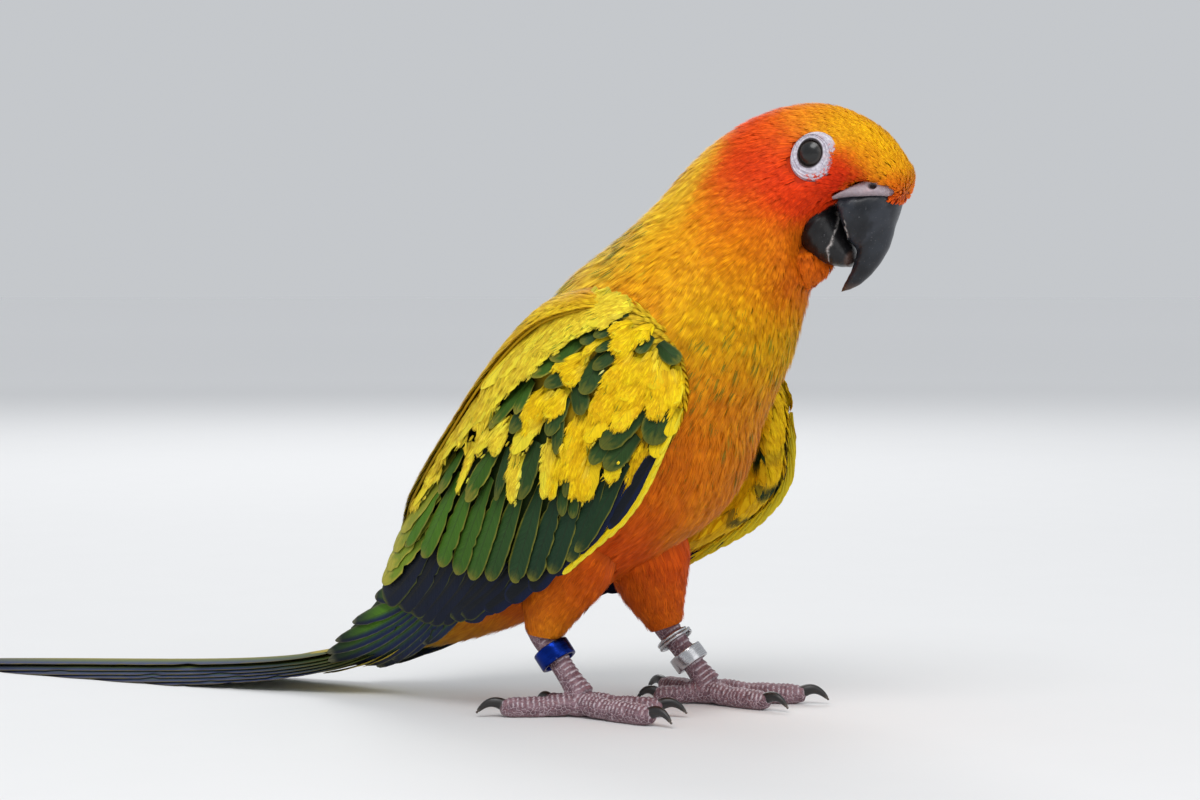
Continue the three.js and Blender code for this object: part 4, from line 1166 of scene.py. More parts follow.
great_green = tones((0, TEAL * 0.8), (0.35, TEAL), (0.65, mix(TEAL, LEAF, 0.6)), (1, LEAF * 1.1))
FLIGHT_ROWS = {
    "primaries": row(
        11, [[0, 70, -10], [1, 84, 0]],
        [[0, 79.5, -11.8], [0.18, 106, -8.6], [0.4, 115.3, -5.6], [0.65, 120.5, 0.6], [0.85, 113, 3.6],
         [1, 100, 5.8]],
        (1.8, 2.3), (-0.5, 0.6),
        lambda q: flight(mix(MOSS * 1.3, LEAF * 1.2, ease(0.3, 0.9, q)), NAVY * 1.2, INK * 1.2, 0.62),
        lambda q: mix(GREY, KHAKI * 0.4, 0.6) * 0.7,
        bow=-0.03, round_tip=0.36, fray=0.03, shaft=-0.3, rows=24, camber=0.05),
    "secondaries": row(
        8, [[0, 58, -10], [0.5, 65, -3], [1, 76, 7]],
        [[0, 79, -10.6], [0.2, 83.7, -9.0], [0.42, 88.7, -6.9], [0.66, 91.2, -3.6], [0.86, 93.4, -0.4],
         [1, 97, 3.2]],
        (2.9, 4.0), (-0.5, 1.2),
        lambda q: flight(INK, NAVY * 0.35 + INK * 0.6, mix(INK, NAVY, 0.25), 0.7),
        lambda q: mix(MOSS * 0.9, KHAKI * 0.5, 0.4),
        bow=-0.02, round_tip=0.16, fray=0.03, shaft=-0.25, rows=22),
    "tertials": row(
        5, [[0, 76, 9], [0.5, 68, 15], [1, 60, 21]], [[0, 95.5, 6.4], [0.5, 88.5, 11], [1, 79, 16.4]],
        (3.2, 3.2), (-0.3, 1.6),
        lambda q: covert(mix(LEAF * 1.5, KHAKI, 0.35 + 0.4 * q), KHAKI * 1.3, 0.7),
        lambda q: KHAKI * 1.2, bow=0.03, round_tip=0.28),
    "primary_coverts": row(
        7, [[0, 8, -5.0], [0.34, 34, -12], [1, 56, -13.6]],
        [[0, 32, -15.8], [0.25, 46, -16.6], [0.55, 60, -15.8], [1, 79, -11.4]],
        (1.5, 2.6), (-0.6, 1.2),
        lambda q: flight(INK, NAVY * 0.8, INK, 0.8), lambda q: NAVY,
        bow=-0.03, round_tip=0.22, fray=0.03, shaft=-0.2),
    "leading_edge": row(
        13, [[0, 3.6, -3.0], [0.3, 12, -8.4], [0.6, 22, -13.8], [1, 38, -16.6]],
        [[0, 12.6, -8.8], [0.3, 21, -13.9], [0.6, 31, -16.6], [1, 48, -17.4]],
        (0.62, 0.6), (0.3, 1.9), lambda q: flight(YELLOW, LEMON * 0.95, LEMON, 0.8), lambda q: LEMON,
        stray=0.2, bow=-0.02, round_tip=0.3, fray=0.1, thick=0.3),
    "great_coverts": row(
        11, [[0, 20, -6.6], [0.25, 33, -3], [0.5, 44, 3.6], [0.75, 53.5, 11], [1, 64, 18.6]],
        [[0, 42, -15.4], [0.1, 45.4, -16.2], [0.2, 51, -16.0], [0.3, 56.2, -14.8], [0.4, 60.4, -12.9],
         [0.52, 66.6, -8.6], [0.64, 70.6, -5.6], [0.76, 74.2, -1.6], [0.88, 78.2, 3.4], [1, 83.5, 9.8]],
        (2.2, 3.1), (-0.5, 1.5),
        lambda q: covert(great_green(q), mix(great_green(q), SEDGE, 0.75), 0.86, 0.03),
        lambda q: SEDGE, stray=0.2, bow=-0.015, round_tip=0.24, fray=0.05, shaft=-0.12, rows=22),
}

# %% [markdown]
# The median and lesser coverts are placed one by one where the bird shows them, because their dark
# green and yellow make a pattern that gives each bird its own look. The order of the list is the
# order in which they lie on each other, the last one on top.

# %% Coverts, one by one
COVERTS = [
    # tone, root s, m, tip s, m, half width
    ("moss", 34, -1.4, 39.4, -8, 1.5), ("moss", 33.6, -5.2, 37.6, -9.6, 1.4),
    ("moss", 36, 9, 46.2, 0.4, 2.5), ("leaf", 46, 14.6, 59.4, 7.6, 2.6),
    ("moss", 43.6, 12.4, 51.8, 3.4, 1.5), ("lemon", 41, 9.4, 48.4, 1.6, 2.1),
    ("lemon", 52, 19.4, 61, 10.8, 1.5), ("leaf", 56.5, 20.6, 66.6, 13.6, 2),
    ("moss", 27, 4, 36, -5.2, 1.6), ("yellow", 31, 7, 38.8, -4, 1.6),
    ("lemon", 32.6, 7.6, 40.6, -2.4, 1.8), ("yellow", 28.4, 4, 34.4, -1.6, 1.8),
    ("gold", 25, 4, 34.8, -5.8, 2.3), ("gold", 21.6, 3, 32.8, -8, 3),
    ("yellow", 18.6, -3.6, 25.4, -7.4, 2.2), ("yellow", 26.8, -1.2, 31.4, -6.4, 2.2),
    ("moss", 14.6, -2.4, 24.3, -5.2, 2.6), ("moss", 19, 0.6, 26.4, -2.6, 2),
    ("yellow", 9.6, -5.2, 14, -8.8, 1.8), ("yellow", 4.6, -2, 9.2, -6.6, 1.8),
    ("moss", 10.4, 1.2, 22.4, -1, 2.9), ("moss", 5.6, 1, 12.8, -6.4, 3.2),
    ("moss", 26, 13.4, 32.3, 3.4, 1.7), ("moss", 24.4, 13.6, 32, 8, 2.3),
    ("lemon", 30.4, 14.4, 42, 9.4, 2.6), ("moss", 31.6, 18.6, 40.2, 13.6, 2.3),
    ("lemon", 43.4, 20, 51.4, 15.2, 2.3), ("lemon", 39.6, 18.4, 46.8, 12.8, 2),
    ("leaf", 31.2, 22, 37, 16.4, 1.9), ("leaf", 31, 22.6, 45.2, 17.8, 2),
    ("gold", 21.6, 8.6, 30.8, 1.6, 2.4), ("gold", 14, 8, 24.6, 1.8, 2.8),
    ("gold", 8, 6, 17.4, 0.8, 2.8), ("gold", 2.6, 5, 9.6, -1.6, 2.6),
    ("yellow", 0.4, 6, 4.6, -1.4, 2), ("moss", 20.4, 15.6, 22.2, 7.2, 2.5),
    ("yellow", 26.6, 17.6, 35.4, 14, 2.4), ("yellow", 23.4, 15.4, 30.2, 11.6, 2.3),
    ("gold", 11, 10.6, 20.6, 6, 2.8), ("gold", 5, 9.6, 13, 5, 2.8),
    ("gold", 0.8, 9.4, 6.6, 3.4, 2.4), ("moss", 17.8, 17.6, 27.2, 17.6, 2.1),
    ("leaf", 19, 22.6, 29.6, 21.6, 2.4), ("leaf", 14.6, 22.8, 23.4, 22, 2.6),
    ("yellow", 16, 19.2, 23.2, 19.6, 2), ("moss", 11.6, 16.8, 20, 11, 2.7),
    ("yellow", 15.6, 17.6, 22.2, 15, 1.9), ("moss", 7.4, 15.8, 15.2, 14.2, 1.7),
    ("gold", 5.2, 13, 14, 10, 2.4), ("yellow", 1.8, 11.6, 9, 8.4, 2.4),
    ("moss", 9.4, 21.6, 15.2, 20.8, 1.7), ("moss", 6.4, 18, 13, 17.2, 1.2),
    ("yellow", 8, 20, 15.4, 18.4, 1.7), ("moss", 5.2, 21, 12, 20.2, 1.6),
    ("moss", 1.4, 14.4, 5.6, 12, 1.5), ("yellow", 3, 16.6, 9.4, 15.2, 1.8),
    ("moss", 3.4, 22, 9.2, 22.6, 1.4), ("yellow", 3.6, 19.6, 8.2, 18.6, 1.6),
    ("moss", 0.8, 12, -0.2, 5.6, 1.8), ("yellow", 0.6, 16.8, 4.2, 14.4, 1.5),
]

# %% Scapulars and the whole wing
COVERT_TONES = {
    "moss": (MOSS, mix(MOSS, SEDGE, 0.45), SEDGE * 0.8), "leaf": (mix(MOSS, LEAF, 0.5), SEDGE, KHAKI),
    "lemon": (LEMON * 0.93, LEMON, LEMON), "yellow": (YELLOW * 0.93, YELLOW, LEMON),
    "gold": (GOLD * 0.96, mix(GOLD, YELLOW, 0.6), YELLOW),
}
SCAPULARS = [
    row(7, [[0, 30, 31], [0.5, 40, 31], [1, 56, 25.4]], [[0, 44, 22.4], [0.5, 60, 22.6], [1, 77, 16.2]],
        (2.4, 2.2), (-0.2, 1.9), lambda q: covert(mix(LEMON * 0.86, KHAKI, 0.35), LEMON, 0.5, 0.2),
        lambda q: LEMON, bow=-0.03, round_tip=0.3, fray=0.2),
    row(8, [[0, 10, 29], [0.5, 24, 33], [1, 42, 31]], [[0, 24, 23.8], [0.5, 40, 21.4], [1, 62, 19.6]],
        (2.8, 2.6), (0.1, 2.3), lambda q: covert(LEMON * 0.94, LEMON, 0.5, 0.2),
        lambda q: LEMON, bow=-0.04, round_tip=0.34, fray=0.2),
    row(7, [[0, 2, 24], [0.5, 8, 31], [1, 24, 34.6]], [[0, 13, 24.6], [0.5, 26, 25.2], [1, 44, 26.6]],
        (3.0, 3.0), (0.3, 2.7), lambda q: covert(LEMON * 0.97, LEMON, 0.5, 0.2),
        lambda q: LEMON, bow=-0.05, round_tip=0.36, fray=0.22),
]


def lay_row(lay, tier):
    for i in range(tier["count"]):
        q = i / (tier["count"] - 1)
        tip = tier["tip"](q) + rng.uniform(-1, 1, 2) * array([1.0, 0.4]) * tier["stray"]
        out = (tier["out"][0], tier["out"][1] + rng.uniform(-0.06, 0.06))
        lay.lay(tier["root"](q), tip, mix(*tier["half"], q), out, tier["tone"](q), tier["edge"](q),
                **tier["shape"])


def lay_coverts(lay):
    for i, (tone, root_s, root_m, tip_s, tip_m, half) in enumerate(COVERTS):
        base, tip, edge = COVERT_TONES[tone]
        soft = 0.08 if tone in ("moss", "leaf") else 0.24
        high = 1.5 + 0.75 * i / len(COVERTS)
        lay.lay((root_s, root_m), (tip_s, tip_m), half, (-0.4, high), covert(base, tip, 0.7, 0.15), edge,
                round_tip=0.42, fray=soft, rows=16, lean=0.25, stem=0.7, bow=rng.uniform(-0.02, 0.02))


def feather_wing(side):
    lay = Feathers(lambda s, m, out: wing_point(side, s, m, out + LAYER))
    for tier in FLIGHT_ROWS.values():
        lay_row(lay, tier)
    lay_coverts(lay)
    for tier in SCAPULARS:
        lay_row(lay, tier)
    return lay


wing_lays = {side: feather_wing(side) for side in SIDES}
wing_vanes = {side: lay.make("vanes_" + SIDES[side], vane_finish) for side, lay in wing_lays.items()}

# %% [markdown]
# The yellow coverts and the feathers of the shoulder end so loosely that they melt into one soft
# mass, while the dark ones among them keep their shape. So a soft coat is sown over the yellow
# blades only: their highest points give its ground, its colours and the way it lies.


# %% Soft coat over the yellow coverts
DOWN_STEP = 0.7


def blurred(field, times):
    for _ in range(times):
        wide = np.pad(field, ((1, 1), (1, 1)) + ((0, 0),) * (field.ndim - 2), mode="edge")
        field = (wide[:-2, 1:-1] + wide[2:, 1:-1] + wide[1:-1, :-2] + wide[1:-1, 2:] + 2 * field) / 6
    return field


def nearest(line, place):
    """The index of each place on a line of numbers one step apart."""
    return clip(((place - line[0]) / DOWN_STEP).round().astype(int), 0, len(line) - 1)


def down_ground(side):
    s_line, m_line = np.arange(-2, 82, DOWN_STEP), np.arange(-17, 36, DOWN_STEP)
    tops = concatenate(wing_lays[side].tops)
    field = np.zeros((len(s_line), len(m_line), 6))
    field[..., 0] = -1.4
    field[..., 1] = 1.0
    tops = tops[np.argsort(tops[:, 2])]
    field[nearest(s_line, tops[:, 0]), nearest(m_line, tops[:, 1])] = tops[:, 2:]
    s, m = lattice(s_line, m_line)
    high = maximum(blurred(field[..., 0], 3), field[..., 0] - 0.35) + LAYER
    grid = wing_point(side, s, m, high - 0.05)
    way = blurred(field[..., 1:3], 8)
    ahead = wing_point(side, s + way[..., 0], m + way[..., 1], high - 0.05) - grid
    out = frame_of(grid)[1]
    out = out * np.where(out[..., 1:2] * side > 0, 1.0, -1.0)
    tone = blurred(field[..., 3:], 1)
    yellow = ease(0.45, 0.62, tone[..., 0])
    # A tuft is only as long as the yellow ahead of it, so that the dark feathers keep their shape.
    free = np.full(s.shape, 6.0)
    for reach in (6.0, 5.2, 4.5, 3.8, 3.1, 2.4, 1.7, 1.0):
        steps = (way * reach / DOWN_STEP).round().astype(int)
        i = clip(np.arange(len(s_line))[:, None] + steps[..., 0], 0, len(s_line) - 1)
        j = clip(np.arange(len(m_line)) + steps[..., 1], 0, len(m_line) - 1)
        free = np.where(tone[i, j, 0] < 0.45, reach, free)
    front = m - wing_edges(s)[..., 0]
    yellow = yellow * ease(-1.2, -0.2, field[..., 0]) * ease(2.2, 3.4, front + 2 * ease(2, 0, s))
    tone = clip(tone / maximum(tone[..., :1], 0.05) * array([0.92, 1.0, 1.3]), 0, 1)
    return {
        "grid": grid, "lie": unit(ahead), "out": out, "cover": yellow, "tone": opaque(tone),
        "region": REGION["wing_down"], "deep": 0.5,
        "long": clip(free + 0.4, 1.6, mix(4.6, 6.0, ease(20, 45, s))),
        "unwrap": vec((s + 4) / 90, (m + 20) / 60, 0 * s),
        "fleck": 0.1 * ease(0.9, 1.6, field[..., 0] - 0.3),
    }


# %% Sow the soft coat
def sow_sides(coat, shell, ground_of, region, spacings, width, stray, seed):
    """Sow a coat on each side, and keep its ground as a closed shell where that has a name."""
    coats, shells = {}, {}
    for (side, word), spacing in zip(SIDES.items(), spacings):
        ground = ground_mesh(coat + "_ground_" + word, [ground_of(side)])
        coats[side] = grow_coat(coat + "_" + word, ground, region, spacing, width, stray, seed + side)
        if shell:
            shells[side] = closed_skin(ground, shell + "_" + word)
        bpy.data.objects.remove(ground)
    return coats, shells


wing_down = sow_sides("wing_down", None, down_ground, "wing_down", (0.66, 0.95), 0.36, 0.14, 41)[0]

# %% [markdown]
# Under the great feathers lies the wing's own body, a flat shell with a coat of small feathers. It
# shows at the bend of the wing and along its front edge, which is bright yellow with a few dark
# spots, and from below, where the small feathers pale into the grey of the quills.

# %% Shell and coat of the wings
shell_outer = curve([[-2.2, -4.2], [1, -2.4], [6, -1.8], [40, -2.0], [85, -2.2], [120, -2.0]])
shell_inner = curve([[-2.2, -7.0], [10, -9], [50, -8], [75, -5.4], [92, -3.8], [120, -2.7]])
QUILL = mix(INK * 1.5, GREY * 0.35, 0.4)
EDGE_SPOTS = [
    # s, m, reach, of the dark feathers at the bend of the wing and along its front edge
    [0.4, 9, 2.6], [3.2, 13.3, 1.6], [9.6, -4, 3.2], [2, 1.5, 1.5], [6.6, -2, 1.4],
    [16, -10.6, 1.8], [25, -14.6, 1.6],
]


def wing_ground(side):
    s = linspace(-2.0, 112, 96)
    low, high = wing_edges(s).T
    t = (1 - cos(linspace(0, pi, 25))) / 2
    m = low[:, None] + (high - low)[:, None] * t[None]
    over = np.broadcast_to(s[:, None], m.shape)
    rim = -0.9 * (2 * t - 1) ** 6
    top = wing_point(side, over, m, shell_outer(s) + rim)
    under = wing_point(side, over, m, shell_inner(s) + 0 * rim)
    # The upper and the lower face meet in the front and the rear edge.
    grid = concatenate([top, under[:, ::-1], top[:, :1]], axis=1)
    m2 = concatenate([m, m[:, ::-1], m[:, :1]], axis=1)
    s2 = np.broadcast_to(s[:, None], m2.shape)
    facing = concatenate([0 * m, 0 * m + 1, 0 * m[:, :1]], axis=1)
    along, _ = frame_of(grid)
    around = np.gradient(grid, axis=1)
    out = unit(np.cross(around, along))
    middle = grid[:, :-1].mean(axis=1, keepdims=True)
    if (out * (grid - middle)).sum() < 0:
        out = -out
    out[:, 0] = out[:, -1] = unit(out[:, 0] + out[:, -1])
    down = unit(along - 0.35 * unit(around) * np.where(facing[..., None] > 0.5, -1, 1))
    spots = np.zeros(m2.shape)
    for spot_s, spot_m, reach in EDGE_SPOTS:
        spots = maximum(spots, ease(1.15, 0.85, hypot(s2 - spot_s, m2 - spot_m) / reach))
    tone = mix(YELLOW, LEMON, ease(-4, 16, m2)[..., None])
    tone = mix(tone, QUILL, (ease(30, 62, s2) * maximum(facing, 0.2))[..., None])
    hidden = ease(24, 34, s2) * ease(2.0, 4.0, m2 - low[:, None]) * (1 - facing)
    tone = mix(tone, MOSS, hidden[..., None])
    tone = mix(tone, MOSS * 0.8, (spots * ease(40, 20, s2))[..., None])
    edge = ease(7, 2.5, m2 - low[:, None]) * ease(52, 44, s2)
    cover = maximum(edge, ease(7, 3, s2) * ease(27, 22, m2)) * (1 - facing)
    cover = maximum(cover, facing * ease(95, 80, s2))
    t2 = np.broadcast_to(linspace(0, 1, m2.shape[1])[None], m2.shape)
    return {
        "grid": grid, "lie": down, "out": out, "cover": cover, "fleck": 0, "tone": opaque(tone),
        "region": REGION["wing"], "deep": mix(1.0, 1.3, facing),
        "long": mix(3.6, 6.0, facing) * mix(0.8, 1.2, ease(0, 30, s2)),
        "unwrap": vec(t2 * 0.96 + 0.01, s2 / 120 * 0.9 + 0.04, 0 * s2),
    }


wing_coats, wing_shells = sow_sides("wing_coat", "wing_shell", wing_ground, "wing", (0.85, 0.85), 0.42,
                                    0.16, 31)


# %% [markdown]
# The feathers of the shoulder lie from the back over the upper edge of each wing, so that back and
# wing meet without a step. They grow on a thin closed strip between the two and point to the tail.

# %% Shoulders
def shoulder_ground(side):
    s = linspace(3, 90, 88)
    high = wing_edges(s)[:, 1]
    # Both ends of the strip sink into wing and back, so that only feathers are seen there.
    sunk = 3.4 * (1 - ease(4, 13, s) * ease(90, 76, s))
    over = wing_point(side, s, high - 4.5, 1.5 - sunk)
    edge = wing_point(side, s, high + 0.5, 1.6 - sunk)
    coat = (ground["grid"] + ground["out"] * 0.6 * ground["deep"][..., None]).reshape(-1, 3)
    aim = edge + array([0.0, -5.0 * side, 1.0])
    closest = [np.argmin(((coat - p) ** 2).sum(-1)) for p in aim]
    back = coat[closest] - ground["out"].reshape(-1, 3)[closest] * sunk[:, None]
    for _ in range(12):
        back[1:-1] = (back[:-2] + back[1:-1] + back[2:]) / 3
    t = linspace(0, 1, 12)[None, :, None]
    top = (1 - t) ** 2 * over[:, None] + 2 * t * (1 - t) * edge[:, None] + t * t * back[:, None]
    along, out = frame_of(top)
    out = out * np.where((out * array([0.0, 0.5 * side, 1.0])).sum(-1, keepdims=True) > 0, 1, -1)
    under = top - out * (0.5 + 0.7 * sin(pi * t))
    lie = unit(along + 0.22 * unit(over - back)[:, None])
    grid = concatenate([top, under[:, ::-1], top[:, :1]], axis=1)
    out = concatenate([out, -out[:, ::-1], out[:, :1]], axis=1)
    lie = concatenate([lie, lie[:, ::-1], lie[:, :1]], axis=1)
    across = concatenate([t[0, :, 0], t[0, ::-1, 0], [0.0]])
    upper = concatenate([np.ones(12), np.zeros(13)])
    s2, t2 = np.broadcast_to(s[:, None], grid.shape[:2]), np.broadcast_to(across, grid.shape[:2])
    plain = opaque(mix(YELLOW, LEMON, 0.5))
    tone = mix(body_tone(grid), plain, (ease(0.9, 0.1, t2) * ease(70, 40, s2))[..., None])
    tone = mix(tone, opaque(KHAKI), (ease(58, 80, s2) * 0.6)[..., None])
    return {
        "grid": grid, "lie": lie, "out": out, "region": REGION["shoulder"], "tone": tone, "deep": 0.9,
        "cover": upper * ease(4, 8, s2) * ease(88, 82, s2), "long": mix(4.4, 6.4, ease(3, 30, s2)),
        "fleck": 0.32 * ease(0, 0.5, t2) * ease(8, 24, s2),
        "unwrap": vec(np.broadcast_to(linspace(0.02, 0.98, grid.shape[1]), s2.shape), s2 / 94, 0 * s2),
    }


shoulder_coats, shoulders = sow_sides("shoulder_coat", "shoulder", shoulder_ground, "shoulder",
                                      (0.85, 0.85), 0.36, 0.14, 51)


# %% [markdown]
# The tail is a long narrow fan of twelve feathers, folded flat: the middle pair is the longest and
# lies on top, and each pair outside it is shorter and lies lower. It runs down from the rump on a
# curve and then lies along the floor. Its feathers are olive and gold above, blue at the outer
# edge and the end, and dark below. Short coverts lie over and under its root.

# %% The tail
TAIL_FROM = -40.0
TAIL_LONG = 147.0


def tail_line(l):
    return TAIL_FROM - l, 3.4 - 4.75 * (l / TAIL_LONG) ** 2 + 18.5 * exp(-l / 19.5)


def tail_point(l, y, h):
    x, z = tail_line(l)
    x2, z2 = tail_line(l + 1)
    long = hypot(x2 - x, z2 - z)
    dx, dz = (x2 - x) / long, (z2 - z) / long
    h = h - 0.006 * y * y
    height = z - dx * h
    # Near the floor the feathers press flat on each other and never pass through it.
    height = np.where(height < 0.3, 0.3 * exp(minimum(height - 0.3, 0) / 0.3), height)
    return vec(x + dz * h, y, height)


OLIVE_GOLD = array([0.34, 0.26, 0.018])
TAIL_GREEN = array([0.075, 0.11, 0.018])
TAIL_BLUE = array([0.03, 0.045, 0.15])
TAIL_DARK = array([0.03, 0.03, 0.022])


def tail_tone(outer_side, green):
    def paint(l, a, s):
        outward = a * outer_side
        base = mix(mix(OLIVE_GOLD, TAIL_GREEN, green), TAIL_GREEN, ease(-0.2, 0.35, outward)[..., None])
        base = mix(base, TAIL_BLUE, (ease(0.3, 0.8, outward) * ease(0.12, 0.4, l))[..., None])
        return mix(base, mix(TAIL_BLUE, TAIL_DARK, 0.5), ease(0.62, 1.0, l)[..., None])
    return paint


# %% Lay the tail
RECTRICES = [
    # root l, root y, tip l, tip y, half width, height
    [4, 1.8, 147, 2, 5.2, 1.8], [4, 3, 137, 5, 4.4, 0.6], [5, 3.4, 124, 6.4, 4.6, -0.05],
    [6, 4, 109, 7.6, 4.4, -0.65], [7, 4.6, 93, 8.8, 4.2, -1.25], [8, 5, 77, 9.6, 3.8, -1.85],
]


TAIL_COVERTS = [
    # length, half width of the row, count, height, tone, tone of the tip
    (26, 6.0, 6, 1.9, LEMON * 0.5, OLIVE_GOLD), (40, 5.0, 6, 2.2, TAIL_GREEN * 1.3, OLIVE_GOLD),
    (30, 3.6, 5, 2.9, OLIVE_GOLD * 1.2, KHAKI * 1.2), (18, 4.4, 5, 3.4, LEMON * 0.62, LEMON * 0.7),
]
UNDER_COVERTS = [(46, 3.4, 4, -2.4), (34, 5.4, 6, -2.9), (22, 6.4, 6, -3.5), (10, 6.6, 6, -4.0)]


def feather_tail():
    lay = Feathers(tail_point)
    for number, (l0, y0, l1, y1, half, high) in list(enumerate(RECTRICES))[::-1]:
        for side in (1, -1):
            drop = 0.65 if side > 0 and y1 < half * 0.7 else 0.0
            lay.lay((l0, y0 * side), (l1, y1 * side), half, (high - drop, high - drop),
                    tail_tone(side, 0.25 + 0.12 * number), mix(TAIL_DARK, OLIVE_GOLD, 0.25), lean=0.0,
                    shaft=0.18 * side, round_tip=0.16, fray=0.03, rows=40, camber=0.5, narrow=0.2, thick=0.3)
    for length, spread, count, high, *tone in TAIL_COVERTS:
        for i in range(count):
            y = mix(-spread, spread, i / (count - 1))
            end = length * (1 - 0.25 * abs(y) / spread) + rng.uniform(-1.5, 1.5)
            lay.lay((-4, y * 0.8), (end, y), 3.1, (high - 0.6, high), covert(*tone, 0.6), tone[1],
                    round_tip=0.3, fray=0.12, lean=0.0, bow=rng.uniform(-0.02, 0.02))
    for length, spread, count, high in UNDER_COVERTS:
        for i in range(count):
            y = mix(-spread, spread, i / (count - 1))
            end = length * (1 - 0.2 * abs(y) / spread) + rng.uniform(-1.5, 1.5)
            shade = rng.uniform(0.2, 0.9)
            lay.lay((-8, y * 0.8), (end, y), 3.2, (high + 0.5, high),
                    covert(mix(TAIL_GREEN, OLIVE_GOLD, shade) * 0.8, OLIVE_GOLD * 1.3, 0.6), OLIVE_GOLD * 1.4,
                    round_tip=0.3, fray=0.16, lean=0.0, camber=-0.3, thick=-0.16)
    return lay.make("tail_feathers", vane_finish)


tail_feathers = feather_tail()

# %% [markdown]
# Horn, eye and bare skin are smooth closed surfaces made of rings, so one helper closes rings with a
# point at each end and turns the faces outward, whichever way round the rings were listed.


# %% Closed surfaces from rings
def closed_rings(name, grid, start, end, finish=None, values=None):
    """A closed mesh over a grid of points [ring, place on the ring, 3] with a point at each end."""
    rows, around = grid.shape[:2]
    points = concatenate([grid.reshape(-1, 3), [start], [end]])
    faces = grid_faces(rows, around, wrap=True)
    first, last = rows * around, rows * around + 1
    for j in range(around):
        k = (j + 1) % around
        faces += [(first, k, j), (last, first - around + j, first - around + k)]
    full = {}
    for key, data in (values or {}).items():
        data = np.broadcast_to(data, (rows, around))
        full[key] = concatenate([data.ravel(), [data[0].mean(), data[-1].mean()]])
    return make_mesh(name, points, outward(points, faces), full, material=finish)


def ring_angles(count):
    return linspace(0, 2 * pi, count, endpoint=False)


def near_line(f, u, line, width):
    """How near places are to a drawn line of points, from 0 to 1."""
    line = array(line, float)
    best = np.full(np.shape(f), 1e9)
    for (f0, u0), (f1, u1) in zip(line[:-1], line[1:]):
        df, du = f1 - f0, u1 - u0
        share = clip(((f - f0) * df + (u - u0) * du) / (df * df + du * du), 0, 1)
        best = minimum(best, hypot(f - f0 - share * df, u - u0 - share * du))
    return exp(-(best / width) ** 2)


# %% [markdown]
# The eye is a ball with a slightly domed front. Its iris is so dark that only the reflections show
# that it is wet: a clear coat over nearly black brown gives them.


# %% Eyes
def eye_nodes(g):
    ring, turn = g.number("ring", "turn")
    fine = g.noise(g.xyz(turn * 40.0, ring * 0.6), 1.0, 3.0, 0.6)
    brown = g.blend((0.01, 0.008, 0.007, 1), (0.036, 0.026, 0.02, 1), fine)
    pupil = ring.soft_step(2.3, 1.9)
    brim = ring.soft_step(2.75, 2.95)
    colours = g.blend(brown, (0.002, 0.002, 0.002, 1), pupil)
    colours = g.blend(colours, (0.012, 0.01, 0.01, 1), brim)
    return {"Base Color": colours}


eye_finish = material("wet_eye", eye_nodes, Roughness=0.35, Coat_Weight=0.55, Coat_Roughness=0.2,
                      Specular_IOR_Level=0.3)


EYE_DOME = 0.16


def eye_ball(side):
    turn = ring_angles(64)
    polar = concatenate([linspace(0.02, 0.8, 30), linspace(0.8, pi - 0.05, 14)[1:]])
    polar2, turn2 = lattice(polar, turn)
    radius = EYE_R + EYE_DOME * ease(0.62, 0.2, polar2)
    ring = radius * sin(polar2)

    def at(ahead, left, above):
        return in_head(EYE_MIDDLE + ahead, side * left, EYE_MIDDLE + above)

    grid = at(ring * cos(turn2), EYE_OUT - EYE_R + radius * cos(polar2), ring * sin(turn2))
    return closed_rings(
        "eye_ball_" + SIDES[side], grid, at(0, EYE_OUT + EYE_DOME, 0), at(0, EYE_OUT - 2 * EYE_R, 0),
        eye_finish, {"ring": ring, "turn": abs(turn2 / pi - 1)})


eyes = {side: eye_ball(side) for side in SIDES}

# %% [markdown]
# Round the eye lies a ring of bare white skin in fine folds, with a dark wet lid edge. Its section
# rises from the lid into two soft folds and dips under the feathers. The creases are in the mesh and
# painted darker as shade too, and a few red specks of feather sheath lie on its front half.


# %% Bare rings and lids
def bare_skin_nodes(g):
    crease_shade, lid_and_nostril_shade, speck, rosy = g.number("crease_shade", "lid_and_nostril_shade", "speck", "rosy")
    place = g.place()
    fine = g.noise(place, 1500.0, 4.0, 0.6)
    broad = g.noise(place, 320.0, 2.0)
    pale = g.blend((0.5, 0.46, 0.53, 1), (0.76, 0.74, 0.8, 1), fine.soft_step(0.35, 0.65))
    pale = g.blend(pale, (0.36, 0.26, 0.28, 1), rosy * 0.75)
    # Painted shade: the creases are made darker.
    pale = g.blend(pale, (0.4, 0.33, 0.42, 1), crease_shade * 0.45)
    pale = g.blend(pale, (0.74, 0.52, 0.54, 1), broad.soft_step(0.52, 0.75) * 0.5)
    pale = g.blend(pale, (0.62, 0.06, 0.03, 1), speck * fine.soft_step(0.5, 0.58))
    # On the ring this value gives the dark lid edge; on the cere it paints the nostril pit nearly black as
    # shade.
    colours = g.blend(pale, (0.03, 0.022, 0.024, 1), lid_and_nostril_shade)
    return {
        "Base Color": colours,
        "Roughness": 0.55 - lid_and_nostril_shade * 0.3,
        "Normal": g.bump(fine + crease_shade * -0.4, 0.35, 0.0003),
    }


bare_skin = material("bare_skin", bare_skin_nodes, Specular_IOR_Level=0.35)

# %% Shape of a bare ring
RING_SECTION = curve([
    # place across the ring, distance from the eye's middle, height
    [0, 2.72, -2.4], [1, 2.86, -1.2], [2, 2.98, -0.62], [2.6, 3.14, -0.44], [3.2, 3.34, -0.5],
    [4, 3.62, -0.72], [5, 4.02, -0.58], [6, 4.45, -0.74], [7, 4.95, -0.58], [8, 5.45, -0.66],
    [9, 5.9, -1.05], [10, 6.3, -1.9], [11, 6.5, -3.0],
])


